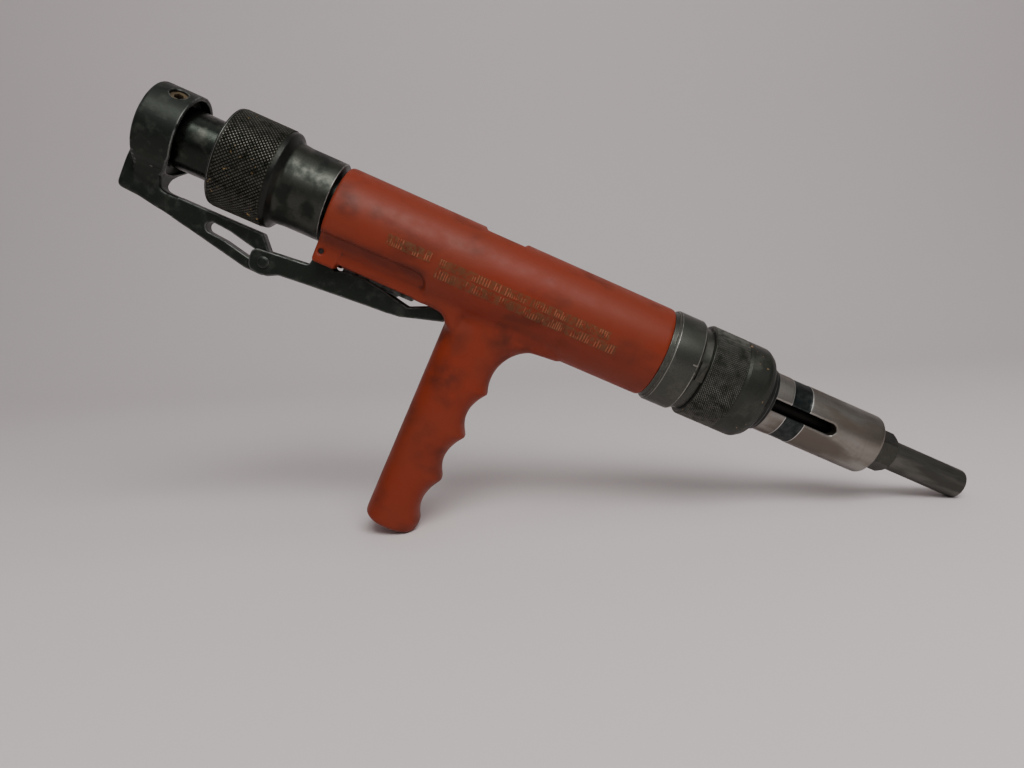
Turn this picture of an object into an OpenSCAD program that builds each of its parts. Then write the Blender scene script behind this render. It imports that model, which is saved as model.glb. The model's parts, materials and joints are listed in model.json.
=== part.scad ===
// Powder-actuated nail gun: a pistol-gripped tool that drives hardened pins with a rim-fire power load.
// Every piece is drawn along the barrel: X runs from the breech to the muzzle, the grip hangs towards -Z,
// and X = 0 is the rear face of the housing. place() then stands the tool on its butt and its muzzle.

/* [Housing] */
// Length of the housing tube
housing_l = 155.5; // [150:0.5:175]
// Outer radius of the housing tube
housing_r = 21; // [20.5:0.1:23]
// Wall of the housing tube
housing_wall = 4.15; // [3.5:0.05:4.5]
// Half width of the trigger box under the tube
box_half_w = 12.8; // [12:0.1:14]
// Height of the underside of the trigger box below the barrel axis
box_drop = 20.2; // [19.5:0.1:21]
// Length of the loading port in the top of the housing
port_l = 18.9; // [17:0.1:20]
// Width of the loading port
port_w = 7; // [6.5:0.1:8]
// Distance from the rear face to the loading port
port_x = 63.6; // [63.3:0.1:64.2]

/* [Grip] */
// Distance from the rear face of the housing to the back of the grip
grip_x = 62.6; // [60:0.1:70]
// Height of the grip, from the barrel axis to the butt
grip_h = 120.9; // [112:0.1:135]
// Depth of the grip, back to front, at the top of the finger grooves
grip_d = 30.8; // [28:0.1:36]
// Half width of the grip
grip_half_w = 13; // [11:0.1:15]
// Spacing of the finger grooves
groove_pitch = 23.7; // [21:0.1:24]
// Radius of a finger groove
groove_r = 15.5; // [13:0.1:18]
// Depth of a finger groove
groove_depth = 5; // [3:0.1:6]
// Radius of the sweep from the grip into the tube
sweep_r = 18; // [14:0.5:22]
// Radius of the rounded toe of the butt
toe_r = 5.5; // [4:0.1:7]

/* [Breech] */
// Height of the breech axis above the barrel axis, which puts the firing pin on the rim of the load
breech_offset = 3.5; // [3.3:0.1:3.7]
// Radius of the knurled breech cap
breech_cap_r = 21.9; // [21:0.1:22.5]
// Length of the knurled part of the breech cap
breech_knurl_l = 24.3; // [23:0.1:27]
// Radius of the smooth neck of the breech cap
breech_neck_r = 17.9; // [16.5:0.1:18.5]
// Length of the breech cap behind the housing
breech_cap_l = 48.5; // [47.5:0.1:51]
// Radius of the striker sleeve
striker_r = 13.4; // [12.5:0.1:14]
// Radius of the spigot that seats the breech cap
spigot_r = 12; // [11:0.1:12]

/* [Firing yoke] */
// Radius of the yoke cap
yoke_cap_r = 18.95; // [18.5:0.05:20]
// Length of the yoke cap
yoke_cap_l = 21.6; // [20:0.1:25]
// Travel of the yoke and striker
yoke_travel = 16.5; // [14:0.1:17]
// Gap left between the yoke cap and the breech cap at full travel
yoke_rest_gap = 0.4; // [0.3:0.1:2]
// Width of the foot of the yoke
yoke_foot_w = 9.6; // [9:0.1:11]
// Width of the arm that reaches the trigger lever
arm_w = 7.6; // [6.5:0.1:8]
// Radius of the set screw that holds the striker sleeve
set_screw_r = 3.65; // [3:0.05:4]

/* [Trigger lever] */
// Angle the lever opens as the yoke goes forward
lever_swing = 10; // [8:0.5:11]
// Thickness of the lever's folded sheet
lever_sheet = 1.5; // [1.2:0.1:1.8]
// Distance of the lever pivot from the rear face
pivot_x = 2.7; // [2.5:0.1:3]
// Distance of the lever pivot below the barrel axis
pivot_drop = 17.1; // [16.9:0.1:17.3]
// Radius of the pivot pin
pivot_r = 1.25; // [1:0.05:1.4]
// Radius of the lever rivet
rivet_r = 1.6; // [1.4:0.05:1.7]

/* [Barrel] */
// Radius of the barrel sleeve
barrel_r = 14.24; // [13.8:0.02:14.5]
// Length of the barrel sleeve in front of the collar
barrel_nose_l = 60; // [52:0.5:70]
// Radius of the bore that the piston runs in
bore_r = 8.05; // [7.5:0.05:8.5]
// Width of the guide slot
slot_w = 5.4; // [5.2:0.1:6]
// Travel of the barrel when it is drawn forward
barrel_travel = 60; // [50:1:60]
// Travel of the piston in the barrel
piston_travel = 60; // [50:1:60]
// Radius of the chamber for the power load
chamber_r = 2.95; // [2.9:0.05:3.2]

/* [Muzzle] */
// Radius of the fastener guide tube
muzzle_r = 7.03; // [6.5:0.01:7.5]
// Radius of the fastener bore
muzzle_bore_r = 4.05; // [3.9:0.05:4.5]
// Length of the guide tube in front of the nut
muzzle_l = 38.5; // [30:0.5:50]
// Size of the lock nut across its flats
nut_af = 17; // [16:0.5:19]
// Length of the lock nut
nut_l = 11; // [8:0.5:14]

/* [Front collar] */
// Radius of the front ring
ring_r = 21.65; // [21.3:0.05:22.5]
// Length of the front ring
ring_l = 13.5; // [12:0.1:15]
// Radius of the knurled collar
collar_r = 21.78; // [21.4:0.02:22.5]
// Length of the knurled collar
collar_l = 31.5; // [30:0.1:34]
// Width of the groove between the front ring and the collar
key_groove_w = 4; // [3.5:0.1:5]
// Travel of the lock key
key_travel = 0.8; // [0.5:0.1:0.8]

/* [Fits] */
// Radial clearance of a running fit
run_fit = 0.06; // [0.04:0.01:0.08]
// Radial clearance of pieces seated in one another
seat_fit = 0.02; // [0.01:0.01:0.03]
// Gap between faces of pieces that only pass each other
pass_gap = 0.3; // [0.2:0.05:0.4]

/* [Hidden] */
$fn = 64;
BIG = 400;
eps = 0.01;

// Radii that follow from the walls
receiver_or = housing_r - housing_wall - seat_fit;
receiver_ir = barrel_r + run_fit;
block_or = receiver_ir - seat_fit;

// Stations along the barrel
neck_gap = 1.8;
breech_rear = -neck_gap - breech_cap_l;
yoke_front = breech_rear - yoke_travel - yoke_rest_gap;
yoke_rear = yoke_front - yoke_cap_l;
flange_l = 16;
barrel_rear = 62;
barrel_seat_gap = 0.1;
ring_x = housing_l + 2;
groove_x = ring_x + ring_l;
collar_x = groove_x + key_groove_w;
collar_front = collar_x + collar_l;
collar_lip = 3.5;
barrel_front = collar_front + barrel_nose_l;
guide_x = collar_x + 15;
guide_r = slot_w / 2 - 0.15;
slot_rear = guide_x - barrel_travel;
slot_front = collar_front + 36 - slot_w / 2;
muzzle_seat = barrel_front - 10.5;
buffer_l = 9.6;
nut_x = barrel_front;
muzzle_x = nut_x + nut_l;
muzzle_end = muzzle_x + muzzle_l;
muzzle_round = 2;
muzzle_neck_r = muzzle_r - 0.4;

// Piston, whose driver ends flush with the muzzle at full travel
piston_stop_gap = 0.2;
piston_rear = 84;
piston_head_front = guide_x - guide_r - barrel_travel - piston_stop_gap;
piston_body_r = 5.5;
piston_body_front = muzzle_seat - buffer_l - piston_travel - piston_stop_gap;
driver_r = muzzle_bore_r - 0.45;
driver_front = muzzle_end - piston_travel - 0.5;
piston_ring_w = 2.4;
piston_ring_depth = 1.2;
piston_ring_x = [piston_rear + 6, piston_rear + 14];

// Grip outline
front_x = grip_x + grip_d;
grip_taper = 0.09;
sweep_z = -housing_r - sweep_r;
first_groove_z = sweep_z - 19.5;
toe_z = -grip_h + toe_r + 0.6;
toe_x = front_x - 11;
pocket_r = 4.5;

// Stance: the tilt that rests the toe of the butt and the lip of the muzzle on one floor
stance_dx = muzzle_end - muzzle_round - toe_x;
stance_dz = -muzzle_r + muzzle_round - toe_z;
tilt = atan2(stance_dz, stance_dx) + asin((toe_r - muzzle_round) / norm([stance_dx, stance_dz]));
floor_z = toe_x * sin(tilt) - toe_z * cos(tilt) + toe_r;
heel_r = 2.4;
heel_x = yoke_rear - 0.1;
heel_z = -26.4;
left_x = (heel_x + heel_r) * cos(tilt) + (heel_z + heel_r) * sin(tilt) - heel_r;
right_x = (muzzle_end - muzzle_round) * cos(tilt) + (muzzle_r - muzzle_round) * sin(tilt) + muzzle_round;

// Yoke foot and arm
foot_front = yoke_front - 4.1;
yoke_crown_r = 38;
yoke_rim_x = yoke_rear + yoke_crown_r - sqrt(yoke_crown_r * yoke_crown_r - yoke_cap_r * yoke_cap_r);
arm_top = -20.6;
arm_end = -15.8;
screw_x = yoke_front - 6.8;
screw_angle = 34;
counterbore_r = yoke_cap_r - 1.7;
counterbore_l = 5;
socket_l = 15;

// Lever
rivet_x = -19.8;
rivet_z = -31.9;
lever_gap = 4.2;
lever_out = lever_gap + lever_sheet;
lug_l = 10.5;
lug_half_w = 13.6;
lug_top = -11.6;
lug_bottom = -22.4;
web_start = 9;

// Striker parts
striker_front = breech_rear + 26;
striker_web = yoke_front + 9;
hammer_r = 4.5;
spring_seat_x = striker_front + yoke_travel + 0.3;
pin_head_r = 4.95;
pin_stem_r = 2.45;
pin_tip_r = 0.9;
pin_travel = 3;
pin_step = 17.5;
pin_neck = 54;
pin_tip = 60;
pin_shoulder = 50;

function arc(cx, cy, r, a0, a1, n = 6) =
    [for (i = [0 : n]) let (a = a0 + (a1 - a0) * i / n) [cx + r * cos(a), cy + r * sin(a)]];

// Stands what is drawn along the barrel on the floor, centred over the origin
module place()
    translate([-(left_x + right_x) / 2, 0, floor_z]) rotate([0, tilt, 0]) children();

// A cylinder along the barrel
module rod(x0, x1, r, z = 0)
    translate([x0, 0, z]) rotate([0, 90, 0]) cylinder(h = x1 - x0, r = r);

// A turned piece: each point of its outline is [radius, station along the barrel]
module turned(outline, z = 0)
    translate([0, 0, z]) rotate([0, 90, 0]) rotate_extrude() polygon(outline);

// A plate between y0 and y1 whose outline is drawn in X and Z
module plate(y0, y1)
    translate([0, y1, 0]) rotate([90, 0, 0]) linear_extrude(y1 - y0) children();

// A bar from x0 to x1 whose section is drawn in Y and Z
module bar(x0, x1)
    translate([x0, 0, 0]) rotate([90, 0, 90]) linear_extrude(x1 - x0) children();

// A coil of round wire along the barrel with closed turns at neither end
module coil(x0, x1, mean_r, wire_r, turns, z = 0) {
    steps = 12 * turns;
    sides = 6;
    lead = (x1 - x0 - 2 * wire_r) / steps;
    points = [for (i = [0 : steps], j = [0 : sides - 1])
        let (a = 30 * i, b = 360 * j / sides, r = mean_r + wire_r * cos(b))
        [x0 + wire_r + lead * i + wire_r * sin(b), r * sin(a), z + r * cos(a)]];
    faces = concat(
        [[for (j = [0 : sides - 1]) j]],
        [for (i = [0 : steps - 1], j = [0 : sides - 1])
            let (k = (j + 1) % sides)
            [i * sides + j, (i + 1) * sides + j, (i + 1) * sides + k, i * sides + k]],
        [[for (j = [sides - 1 : -1 : 0]) steps * sides + j]]);
    polyhedron(points, faces);
}

// ---- Housing ----

module grip_outline() {
    difference() {
        polygon(concat(
            [[grip_x, sweep_z + sweep_r + 4]],
            arc(grip_x + 2.5, -grip_h + 4.3, 2.5, 180, 262, 4),
            arc(toe_x, toe_z, toe_r, 268, 360, 8),
            [[front_x - grip_taper * (grip_h + sweep_z), toe_z + 6],
                [front_x, sweep_z - 8],
                [front_x - 1.4, sweep_z],
                [front_x - 1.4 + sweep_r, sweep_z],
                [front_x - 1.4 + sweep_r, -housing_r + 4]]));
        for (i = [0 : 2])
            translate([front_x - groove_depth - 0.6 - i * (grip_taper * groove_pitch - 0.3) + groove_r,
                first_groove_z - i * groove_pitch]) circle(r = groove_r);
        translate([front_x - 1.4 + sweep_r, sweep_z]) circle(r = sweep_r);
    }
}

// Racetrack section of the grip, a little rounder at the back than at the fingers
module grip_section()
    polygon(concat(
        arc(grip_x + grip_half_w - 0.4, 0, grip_half_w, 95, 265, 12),
        arc(front_x - grip_half_w + 1.5, 0, grip_half_w - 0.6, -88, 88, 12)));

module grip() {
    intersection() {
        plate(-grip_half_w, grip_half_w) grip_outline();
        union() {
            translate([0, 0, -grip_h - 1]) linear_extrude(grip_h + 1 + sweep_z) grip_section();
            translate([grip_x - 1, -box_half_w, sweep_z - 0.5]) cube([BIG / 4, 2 * box_half_w, -sweep_z]);
        }
    }
}

// Side recess that narrows the underside of the tube to the trigger box
module side_recess(x0, x1, half_w)
    for (side = [-1, 1]) scale([1, side, 1])
        bar(x0, x1) polygon(concat(
            [[half_w, -BIG / 4], [half_w, -14]],
            arc(half_w + 5, -14, 5, 180, 90, 5),
            [[BIG / 4, -9], [BIG / 4, -BIG / 4]]));

module housing() color([0.62, 0.14, 0.06]) place() {
    difference() {
        union() {
            difference() {
                rod(0, housing_l, housing_r);
                side_recess(-1, lug_l, lug_half_w);
                side_recess(lug_l - eps, 50, box_half_w);
                translate([lug_l, -BIG / 2, -box_drop - 20]) cube([grip_x - pocket_r - lug_l, BIG, 20]);
            }
            translate([0, -lug_half_w, lug_bottom]) cube([lug_l, 2 * lug_half_w, lug_top - lug_bottom]);
            grip();
            plate(-box_half_w, box_half_w) polygon(concat(
                arc(grip_x - pocket_r, -box_drop - pocket_r, pocket_r, 0, 90, 6),
                [[grip_x - pocket_r, -box_drop + 4], [grip_x + 2, -box_drop + 4],
                    [grip_x + 2, -box_drop - pocket_r]]));
        }
        rod(-1, housing_l + 1, receiver_or + seat_fit);
        // Milled flat and loading port in the top
        translate([port_x, -housing_r, housing_r - 1.5]) cube([port_l, 2 * housing_r, 5]);
        translate([port_x + 1, -port_w / 2, 0]) cube([port_l - 2, port_w, housing_r]);
        // Slot for the lever's ears and the bore for its pin
        translate([-1, -lever_out - pass_gap, lug_bottom - 1])
            cube([lug_l + 2, 2 * (lever_out + pass_gap), 12]);
        translate([pivot_x, 0, -pivot_drop]) rotate([90, 0, 0])
            cylinder(h = 2 * lug_half_w + 2, r = pivot_r + seat_fit, center = true);
    }
}

// ---- Frame pieces inside and on the housing ----

module receiver_tube() color([0.30, 0.31, 0.32]) place() {
    difference() {
        rod(flange_l, collar_front - collar_lip - 4, receiver_or);
        rod(flange_l - 1, collar_front, receiver_ir);
        translate([port_x + 1, -port_w / 2, 0]) cube([port_l - 2, port_w, housing_r]);
        translate([guide_x, 0, 0]) rotate([90, 0, 0]) cylinder(h = housing_r, r = guide_r + seat_fit);
    }
}

module breech_block() color([0.35, 0.35, 0.36]) place() {
    difference() {
        union() {
            rod(0.2, flange_l, receiver_or);
            rod(flange_l - eps, barrel_rear - barrel_seat_gap, block_or);
        }
        translate([-1, -BIG / 2, -BIG / 2]) cube([flange_l - 1, BIG, BIG / 2 - 13.6]);
        rod(-1, 14.2, spigot_r + run_fit, breech_offset);
        turned([[0, 7.1], [spigot_r + 0.9, 7.1], [spigot_r + 0.9, 8.9], [0, 8.9]], breech_offset);
        rod(14, pin_shoulder, pin_head_r + run_fit + 0.04, breech_offset);
        rod(pin_shoulder - 1, 57.5, pin_stem_r + run_fit, breech_offset);
        rod(57, barrel_rear + 1, pin_tip_r + run_fit, breech_offset);
    }
}

module breech_retaining_ring() color([0.45, 0.45, 0.47]) place() {
    turned([[spigot_r - 0.6, 7.3], [spigot_r + 0.8, 7.3], [spigot_r + 0.8, 8.7], [spigot_r - 0.6, 8.7]],
        breech_offset);
}

module lever_pivot_pin() color([0.12, 0.12, 0.12]) place() {
    translate([pivot_x, 0, -pivot_drop]) rotate([90, 0, 0])
        cylinder(h = 2 * lug_half_w - 2.4, r = pivot_r, center = true);
}

plate_x0 = lug_l + 2;
plate_x1 = 45.7;
plate_t = 2.3;
plate_half_w = lever_gap - 0.6;

module spring_plate() color([0.08, 0.08, 0.08]) place() {
    plate(-plate_half_w, plate_half_w) {
        translate([plate_x0, -box_drop - plate_t]) square([plate_x1 - plate_x0 - plate_t / 2, plate_t]);
        translate([plate_x1 - plate_t / 2, -box_drop - plate_t / 2]) circle(r = plate_t / 2);
    }
}

leaf_t = 0.7;
leaf_bend_r = 4.2;
leaf_l = 22;

module lever_spring() color([0.10, 0.10, 0.11]) place() {
    top = -box_drop - plate_t;
    bend_x = plate_x0 + leaf_bend_r;
    plate(-2.6, 2.6) {
        translate([bend_x, top - leaf_t]) square([leaf_l, leaf_t]);
        difference() {
            translate([bend_x, top - leaf_bend_r]) circle(r = leaf_bend_r);
            translate([bend_x, top - leaf_bend_r]) circle(r = leaf_bend_r - leaf_t);
            translate([bend_x, top - 2 * leaf_bend_r + leaf_t])
                square([leaf_bend_r + 1, 2 * (leaf_bend_r - leaf_t)]);
        }
    }
}

module front_ring() color([0.16, 0.17, 0.17]) place() {
    bore = receiver_or + seat_fit;
    neck_r = ring_r - 2.1;
    spigot = collar_r - 3.3;
    difference() {
        turned([[bore, housing_l], [ring_r - 1.3, housing_l], [ring_r - 1.3, ring_x], [ring_r - 0.3, ring_x],
            [ring_r, ring_x + 0.3], [ring_r, groove_x - 0.8], [ring_r - 0.8, groove_x], [neck_r, groove_x],
            [neck_r, collar_x - 0.1], [spigot, collar_x - 0.1], [spigot, collar_front - collar_lip - 0.1],
            [bore, collar_front - collar_lip - 0.1]]);
        key_pocket();
        translate([guide_x, 0, 0]) rotate([90, 0, 0]) cylinder(h = BIG / 4, r = guide_r + seat_fit);
    }
}

module guide_pin() color([0.45, 0.45, 0.46]) place() {
    tip = bore_r + 0.2;
    translate([guide_x, -tip, 0]) rotate([90, 0, 0]) cylinder(h = collar_r - 3.4 - tip, r = guide_r);
}

module wiper_bush() color([0.05, 0.05, 0.05]) place() {
    flange = collar_front - collar_lip - 4;
    turned([[receiver_ir, flange], [receiver_or, flange], [receiver_or, collar_front - collar_lip - 0.1],
        [barrel_r + 1.6, collar_front - collar_lip - 0.1], [barrel_r + 1.6, collar_front + 3.6],
        [barrel_r + 1, collar_front + 4.4], [receiver_ir, collar_front + 4.4]]);
}

// ---- Breech ----

module breech_cap() color([0.10, 0.11, 0.10]) place() {
    shoulder = breech_rear + breech_knurl_l;
    web = spring_seat_x + 0.1;
    turned(concat(
        [[striker_r + 0.1, breech_rear], [breech_cap_r - 0.8, breech_rear], [breech_cap_r, breech_rear + 0.8],
            [breech_cap_r, shoulder - 0.4], [breech_cap_r - 0.4, shoulder]],
        [for (i = [0 : 6]) let (a = 90 * i / 6)
            [breech_neck_r + (breech_cap_r - 0.4 - breech_neck_r) * (1 - sin(a)), shoulder + 6 * (1 - cos(a))]],
        [[breech_neck_r, -neck_gap - 0.4], [breech_neck_r - 0.4, -neck_gap], [spigot_r, -neck_gap],
            [spigot_r, 7.1], [spigot_r - 0.8, 7.1], [spigot_r - 0.8, 8.9], [spigot_r, 8.9],
            [spigot_r, 13.8], [pin_head_r + 0.15, 13.8], [pin_head_r + 0.15, web], [striker_r + 0.1, web]]),
        breech_offset);
}

module striker_sleeve() color([0.20, 0.22, 0.24]) place() {
    turned([[hammer_r + seat_fit, yoke_front - socket_l], [striker_r - 0.5, yoke_front - socket_l],
        [striker_r, yoke_front - socket_l + 0.5], [striker_r, striker_front - 0.5],
        [striker_r - 0.5, striker_front], [8.6, striker_front], [8.6, striker_web], [hammer_r + seat_fit, striker_web]],
        breech_offset);
}

module hammer_rod() color([0.42, 0.42, 0.43]) place() {
    rod(yoke_front - socket_l + 1, striker_front, hammer_r, breech_offset);
}

module main_spring() color([0.33, 0.33, 0.35]) place() {
    coil(striker_web + 0.1, spring_seat_x, 6.6, 0.9, 9, breech_offset);
}

module firing_pin() color([0.50, 0.50, 0.52]) place() {
    turned([[0, striker_front + yoke_travel + 0.2], [pin_head_r, striker_front + yoke_travel + 0.2],
        [pin_head_r, pin_step], [pin_stem_r, pin_step], [pin_stem_r, pin_neck], [pin_tip_r, pin_neck],
        [pin_tip_r, pin_tip], [0, pin_tip]], breech_offset);
}

module firing_pin_spring() color([0.40, 0.40, 0.42]) place() {
    coil(pin_step + 0.1, pin_shoulder - 0.1, 3.8, 0.6, 8, breech_offset);
}

// ---- Firing yoke ----

// Drop-shaped section that carries the cap down to the foot
module foot_section() {
    half_w = yoke_foot_w / 2;
    neck_z = -17.5;
    reach = norm([half_w, neck_z - breech_offset]);
    a = atan2(neck_z - breech_offset, half_w) + acos(yoke_cap_r / reach);
    shoulder_r = yoke_cap_r - 0.6;
    shoulder = [shoulder_r * cos(a), breech_offset + shoulder_r * sin(a)];
    end = shoulder + 1.3 * ([half_w, neck_z] - shoulder);
    polygon([[-shoulder[0], shoulder[1]], [0, breech_offset], shoulder, end, [-end[0], end[1]]]);
}

module foot_outline() {
    polygon(concat(
        [[foot_front + eps, breech_offset - 8], [yoke_rear + 0.9, breech_offset - 8], [heel_x, breech_offset - 17]],
        arc(heel_x + heel_r, heel_z + heel_r, heel_r, 180, 264, 5),
        [[heel_x + 9.4, heel_z - 0.3], [foot_front + eps, heel_z - 2.2]]));
}

module arm_outline() {
    polygon([[foot_front - 4, arm_top], [-25, arm_top], [arm_end, -31.8], [arm_end + 0.6, -34],
        [arm_end - 1, -36.6], [-21, -37.9], [-27.2, -37.5], [-54.6, -31.6], [heel_x + 9.4, heel_z - 0.3]]);
    difference() {
        translate([foot_front - 1, arm_top - 1]) square(4);
        translate([foot_front + 3, arm_top + 3]) circle(r = 3);
    }
}

// Where the rivet stands in the arm after a share t of the yoke's travel
function rivet_at(t) =
    let (a = lever_swing * t, dx = rivet_x - pivot_x, dz = rivet_z + pivot_drop)
    [pivot_x + dx * cos(a) + dz * sin(a) - yoke_travel * t, -pivot_drop - dx * sin(a) + dz * cos(a)];

// Cam slot: a ramp that follows the rivet, and a level part behind it for play
module cam_slot() {
    half_w = rivet_r + 0.7;
    steps = 6;
    ramp = [for (i = [0 : steps]) rivet_at(i / steps)];
    last = ramp[steps];
    level = [last[0] - 7.5, last[1] + 0.7];
    path = concat(ramp, [level]);
    sides = [for (i = [0 : steps + 1])
        let (step = path[min(i + 1, steps + 1)] - path[max(i - 1, 0)])
        [-step[1], step[0]] * half_w / norm(step)];
    for (end = [ramp[0], level]) translate(end) circle(r = half_w);
    polygon(concat(
        [for (i = [0 : steps + 1]) path[i] + sides[i]],
        [for (i = [steps + 1 : -1 : 0]) path[i] - sides[i]]));
}

module firing_yoke() color([0.13, 0.14, 0.14]) place() {
    crown = asin(yoke_cap_r / yoke_crown_r);
    difference() {
        union() {
            turned(concat(
                [for (i = [0 : 6]) let (a = crown * i / 6)
                    [yoke_crown_r * sin(a), yoke_rear + yoke_crown_r * (1 - cos(a))]],
                [[yoke_cap_r, yoke_front - 0.3], [yoke_cap_r - 0.3, yoke_front], [0, yoke_front]]), breech_offset);
            bar(yoke_rim_x + 0.3, foot_front) foot_section();
            plate(-yoke_foot_w / 2, yoke_foot_w / 2) foot_outline();
            plate(-arm_w / 2, arm_w / 2) arm_outline();
        }
        rod(yoke_front - socket_l, yoke_front + 1, striker_r + seat_fit, breech_offset);
        rod(yoke_front - counterbore_l, yoke_front + 1, counterbore_r, breech_offset);
        plate(-arm_w, arm_w) cam_slot();
        set_screw_bore(set_screw_r + seat_fit, striker_r - 1, yoke_cap_r + 2);
    }
}

module set_screw_bore(r, from, to)
    translate([screw_x, 0, breech_offset]) rotate([screw_angle, 0, 0]) translate([0, 0, from])
        cylinder(h = to - from, r = r);

module yoke_set_screw() color([0.25, 0.17, 0.10]) place() {
    difference() {
        set_screw_bore(set_screw_r, striker_r + 0.45, yoke_cap_r - 1.4);
        translate([screw_x, 0, breech_offset]) rotate([screw_angle, 0, 0])
            translate([0, 0, yoke_cap_r - 3.6]) cylinder(h = 4, r = 2.1, $fn = 6);
    }
}

// ---- Trigger lever ----

module lever_outline() {
    polygon(concat(
        [[-24.2, -27.3], [-26, -28.8], [-26.2, -31.3], [-25.6, -35], [-24.1, -36.7], [-20, -37.5],
            [-16.4, -37], [-11.9, -34.8], [1.5, -33.7], [30.8, -31.6], [43, -30.7], [47.2, -29.4],
            [grip_x - 0.4, -24.9]],
        arc(grip_x - pocket_r, -box_drop - pocket_r, pocket_r - 0.4, 0, 50, 4),
        [[57.6, -21.4], [53.6, -20.8], [52.6, -21.9], [44.8, -25.4], [38.8, -24.2], [31.9, -22.4], [22, -21.2],
            [14, -21.4], [lug_l - 1.5, -22.8], [pivot_x + 3.1, -19], [pivot_x - 3.1, -17.5],
            [-1.8, -25.2]]));
    translate([pivot_x, -pivot_drop]) circle(r = 3.1);
}

// Space between the lever's walls, above its folded web
module lever_inside() {
    polygon([[-BIG / 8, -BIG / 8], [web_start, -BIG / 8], [web_start, -33.2 + lever_sheet],
        [30.8, -31.6 + lever_sheet], [43, -30.7 + lever_sheet], [47, -29.4 + lever_sheet],
        [grip_x - 3.2, -24.4 + lever_sheet], [grip_x - 3.2, 0], [-BIG / 8, 0]]);
}

module trigger_lever() color([0.07, 0.08, 0.07]) place() {
    difference() {
        plate(-lever_out, lever_out) lever_outline();
        plate(-lever_gap, lever_gap) lever_inside();
        translate([pivot_x, 0, -pivot_drop]) rotate([90, 0, 0])
            cylinder(h = BIG / 4, r = pivot_r + run_fit, center = true);
        translate([rivet_x, 0, rivet_z]) rotate([90, 0, 0])
            cylinder(h = BIG / 4, r = rivet_r + seat_fit, center = true);
    }
}

module lever_rivet() color([0.16, 0.16, 0.16]) place() {
    translate([rivet_x, 0, rivet_z]) rotate([90, 0, 0]) {
        cylinder(h = 2 * lever_out + 0.2, r = rivet_r, center = true);
        for (side = [-1, 1]) scale([1, 1, side]) translate([0, 0, lever_out]) {
            cylinder(h = 0.5, r = 2.6);
            translate([0, 0, 0.5]) cylinder(h = 0.5, r1 = 2.6, r2 = 1.7);
        }
    }
}

// ---- Front collar and its lock key ----

module knurled_collar() color([0.13, 0.14, 0.13]) place() {
    inner = collar_r - 3.3 + run_fit;
    lip = receiver_or + 0.2;
    turned(concat(
        [[inner, collar_x], [collar_r - 1.2, collar_x], [collar_r - 0.3, collar_x + 0.4],
            [collar_r, collar_x + 1.2]],
        arc(collar_r - 4.2, collar_front - 4.2, 4.2, 0, 60, 6),
        [[collar_r - 2.9, collar_front], [barrel_r + 2, collar_front],
            [barrel_r + 2, collar_front - collar_lip], [inner, collar_front - collar_lip]]));
}

key_half_h = 4.4;
key_mid = 0.5;
key_floor = ring_r - 3.95;

module key_block(clear, y_in, y_out)
    translate([groove_x + 0.25 - clear, -y_out, key_mid - key_half_h - clear])
        cube([key_groove_w - 0.5 + 2 * clear, y_out - y_in, 2 * (key_half_h + clear)]);

module key_pocket() {
    key_block(0.12, key_floor, ring_r + 1);
}

module lock_key() color([0.20, 0.20, 0.19]) place() {
    intersection() {
        key_block(0, key_floor + key_travel + 0.1, ring_r + 1);
        rod(groove_x - 1, collar_x + 1, ring_r - 0.6);
    }
}

module lock_key_spring() color([0.40, 0.40, 0.42]) place() {
    middle = groove_x + key_groove_w / 2;
    translate([middle - 0.9, -key_floor - key_travel - 0.05, key_mid - 3])
        cube([1.8, key_travel, 6]);
}

// ---- Barrel group ----

module barrel_sleeve() color([0.52, 0.51, 0.49]) place() {
    band_x = collar_front + 12.8;
    band_l = 9;
    band_depth = 0.2;
    difference() {
        turned(concat(
            [[0, barrel_rear], [barrel_r - 0.6, barrel_rear], [barrel_r, barrel_rear + 0.6],
                [barrel_r, band_x], [barrel_r - band_depth, band_x], [barrel_r - band_depth, band_x + band_l],
                [barrel_r, band_x + band_l]],
            arc(barrel_r - 1.8, barrel_front - 1.8, 1.8, 0, 90, 5),
            [[0, barrel_front]]));
        rod(barrel_rear - 1, barrel_front + 1, chamber_r);
        rod(barrel_rear - 1, barrel_rear + 1.2, 3.6);
        rod(barrel_rear - 1, barrel_rear + 1.2, pin_tip_r + 0.25, breech_offset);
        rod(piston_rear - 2, muzzle_seat, bore_r);
        rod(muzzle_seat - 1, barrel_front + 1, muzzle_neck_r + seat_fit);
        plate(-BIG / 8, 0) {
            translate([slot_rear, -slot_w / 2]) square([slot_front - slot_rear, slot_w]);
            for (x = [slot_rear, slot_front]) translate([x, 0]) circle(r = slot_w / 2);
        }
    }
}

module buffer_ring() color([0.03, 0.03, 0.03]) place() {
    turned([[driver_r + 0.2, muzzle_seat - buffer_l], [bore_r - seat_fit, muzzle_seat - buffer_l],
        [bore_r - seat_fit, muzzle_seat - seat_fit], [driver_r + 0.2, muzzle_seat - seat_fit]]);
}

module muzzle_tube() color([0.24, 0.24, 0.23]) place() {
    turned(concat(
        [[muzzle_bore_r, muzzle_seat], [muzzle_neck_r, muzzle_seat], [muzzle_neck_r, muzzle_x + 1],
            [muzzle_r, muzzle_x + 1]],
        arc(muzzle_r - muzzle_round, muzzle_end - muzzle_round, muzzle_round, 0, 90, 5),
        [[muzzle_bore_r, muzzle_end]]));
}

module muzzle_nut() color([0.36, 0.36, 0.34]) place() {
    corner_r = nut_af / 2 / cos(30);
    difference() {
        intersection() {
            translate([nut_x + seat_fit, 0, 0]) rotate([0, 90, 0]) cylinder(h = nut_l - seat_fit, r = corner_r, $fn = 6);
            turned([[0, nut_x], [corner_r, nut_x], [corner_r, muzzle_x - 1.2],
                [corner_r - 1.9, muzzle_x], [0, muzzle_x]]);
        }
        rod(nut_x - 1, muzzle_x + 1, muzzle_neck_r + seat_fit);
    }
}

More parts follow.
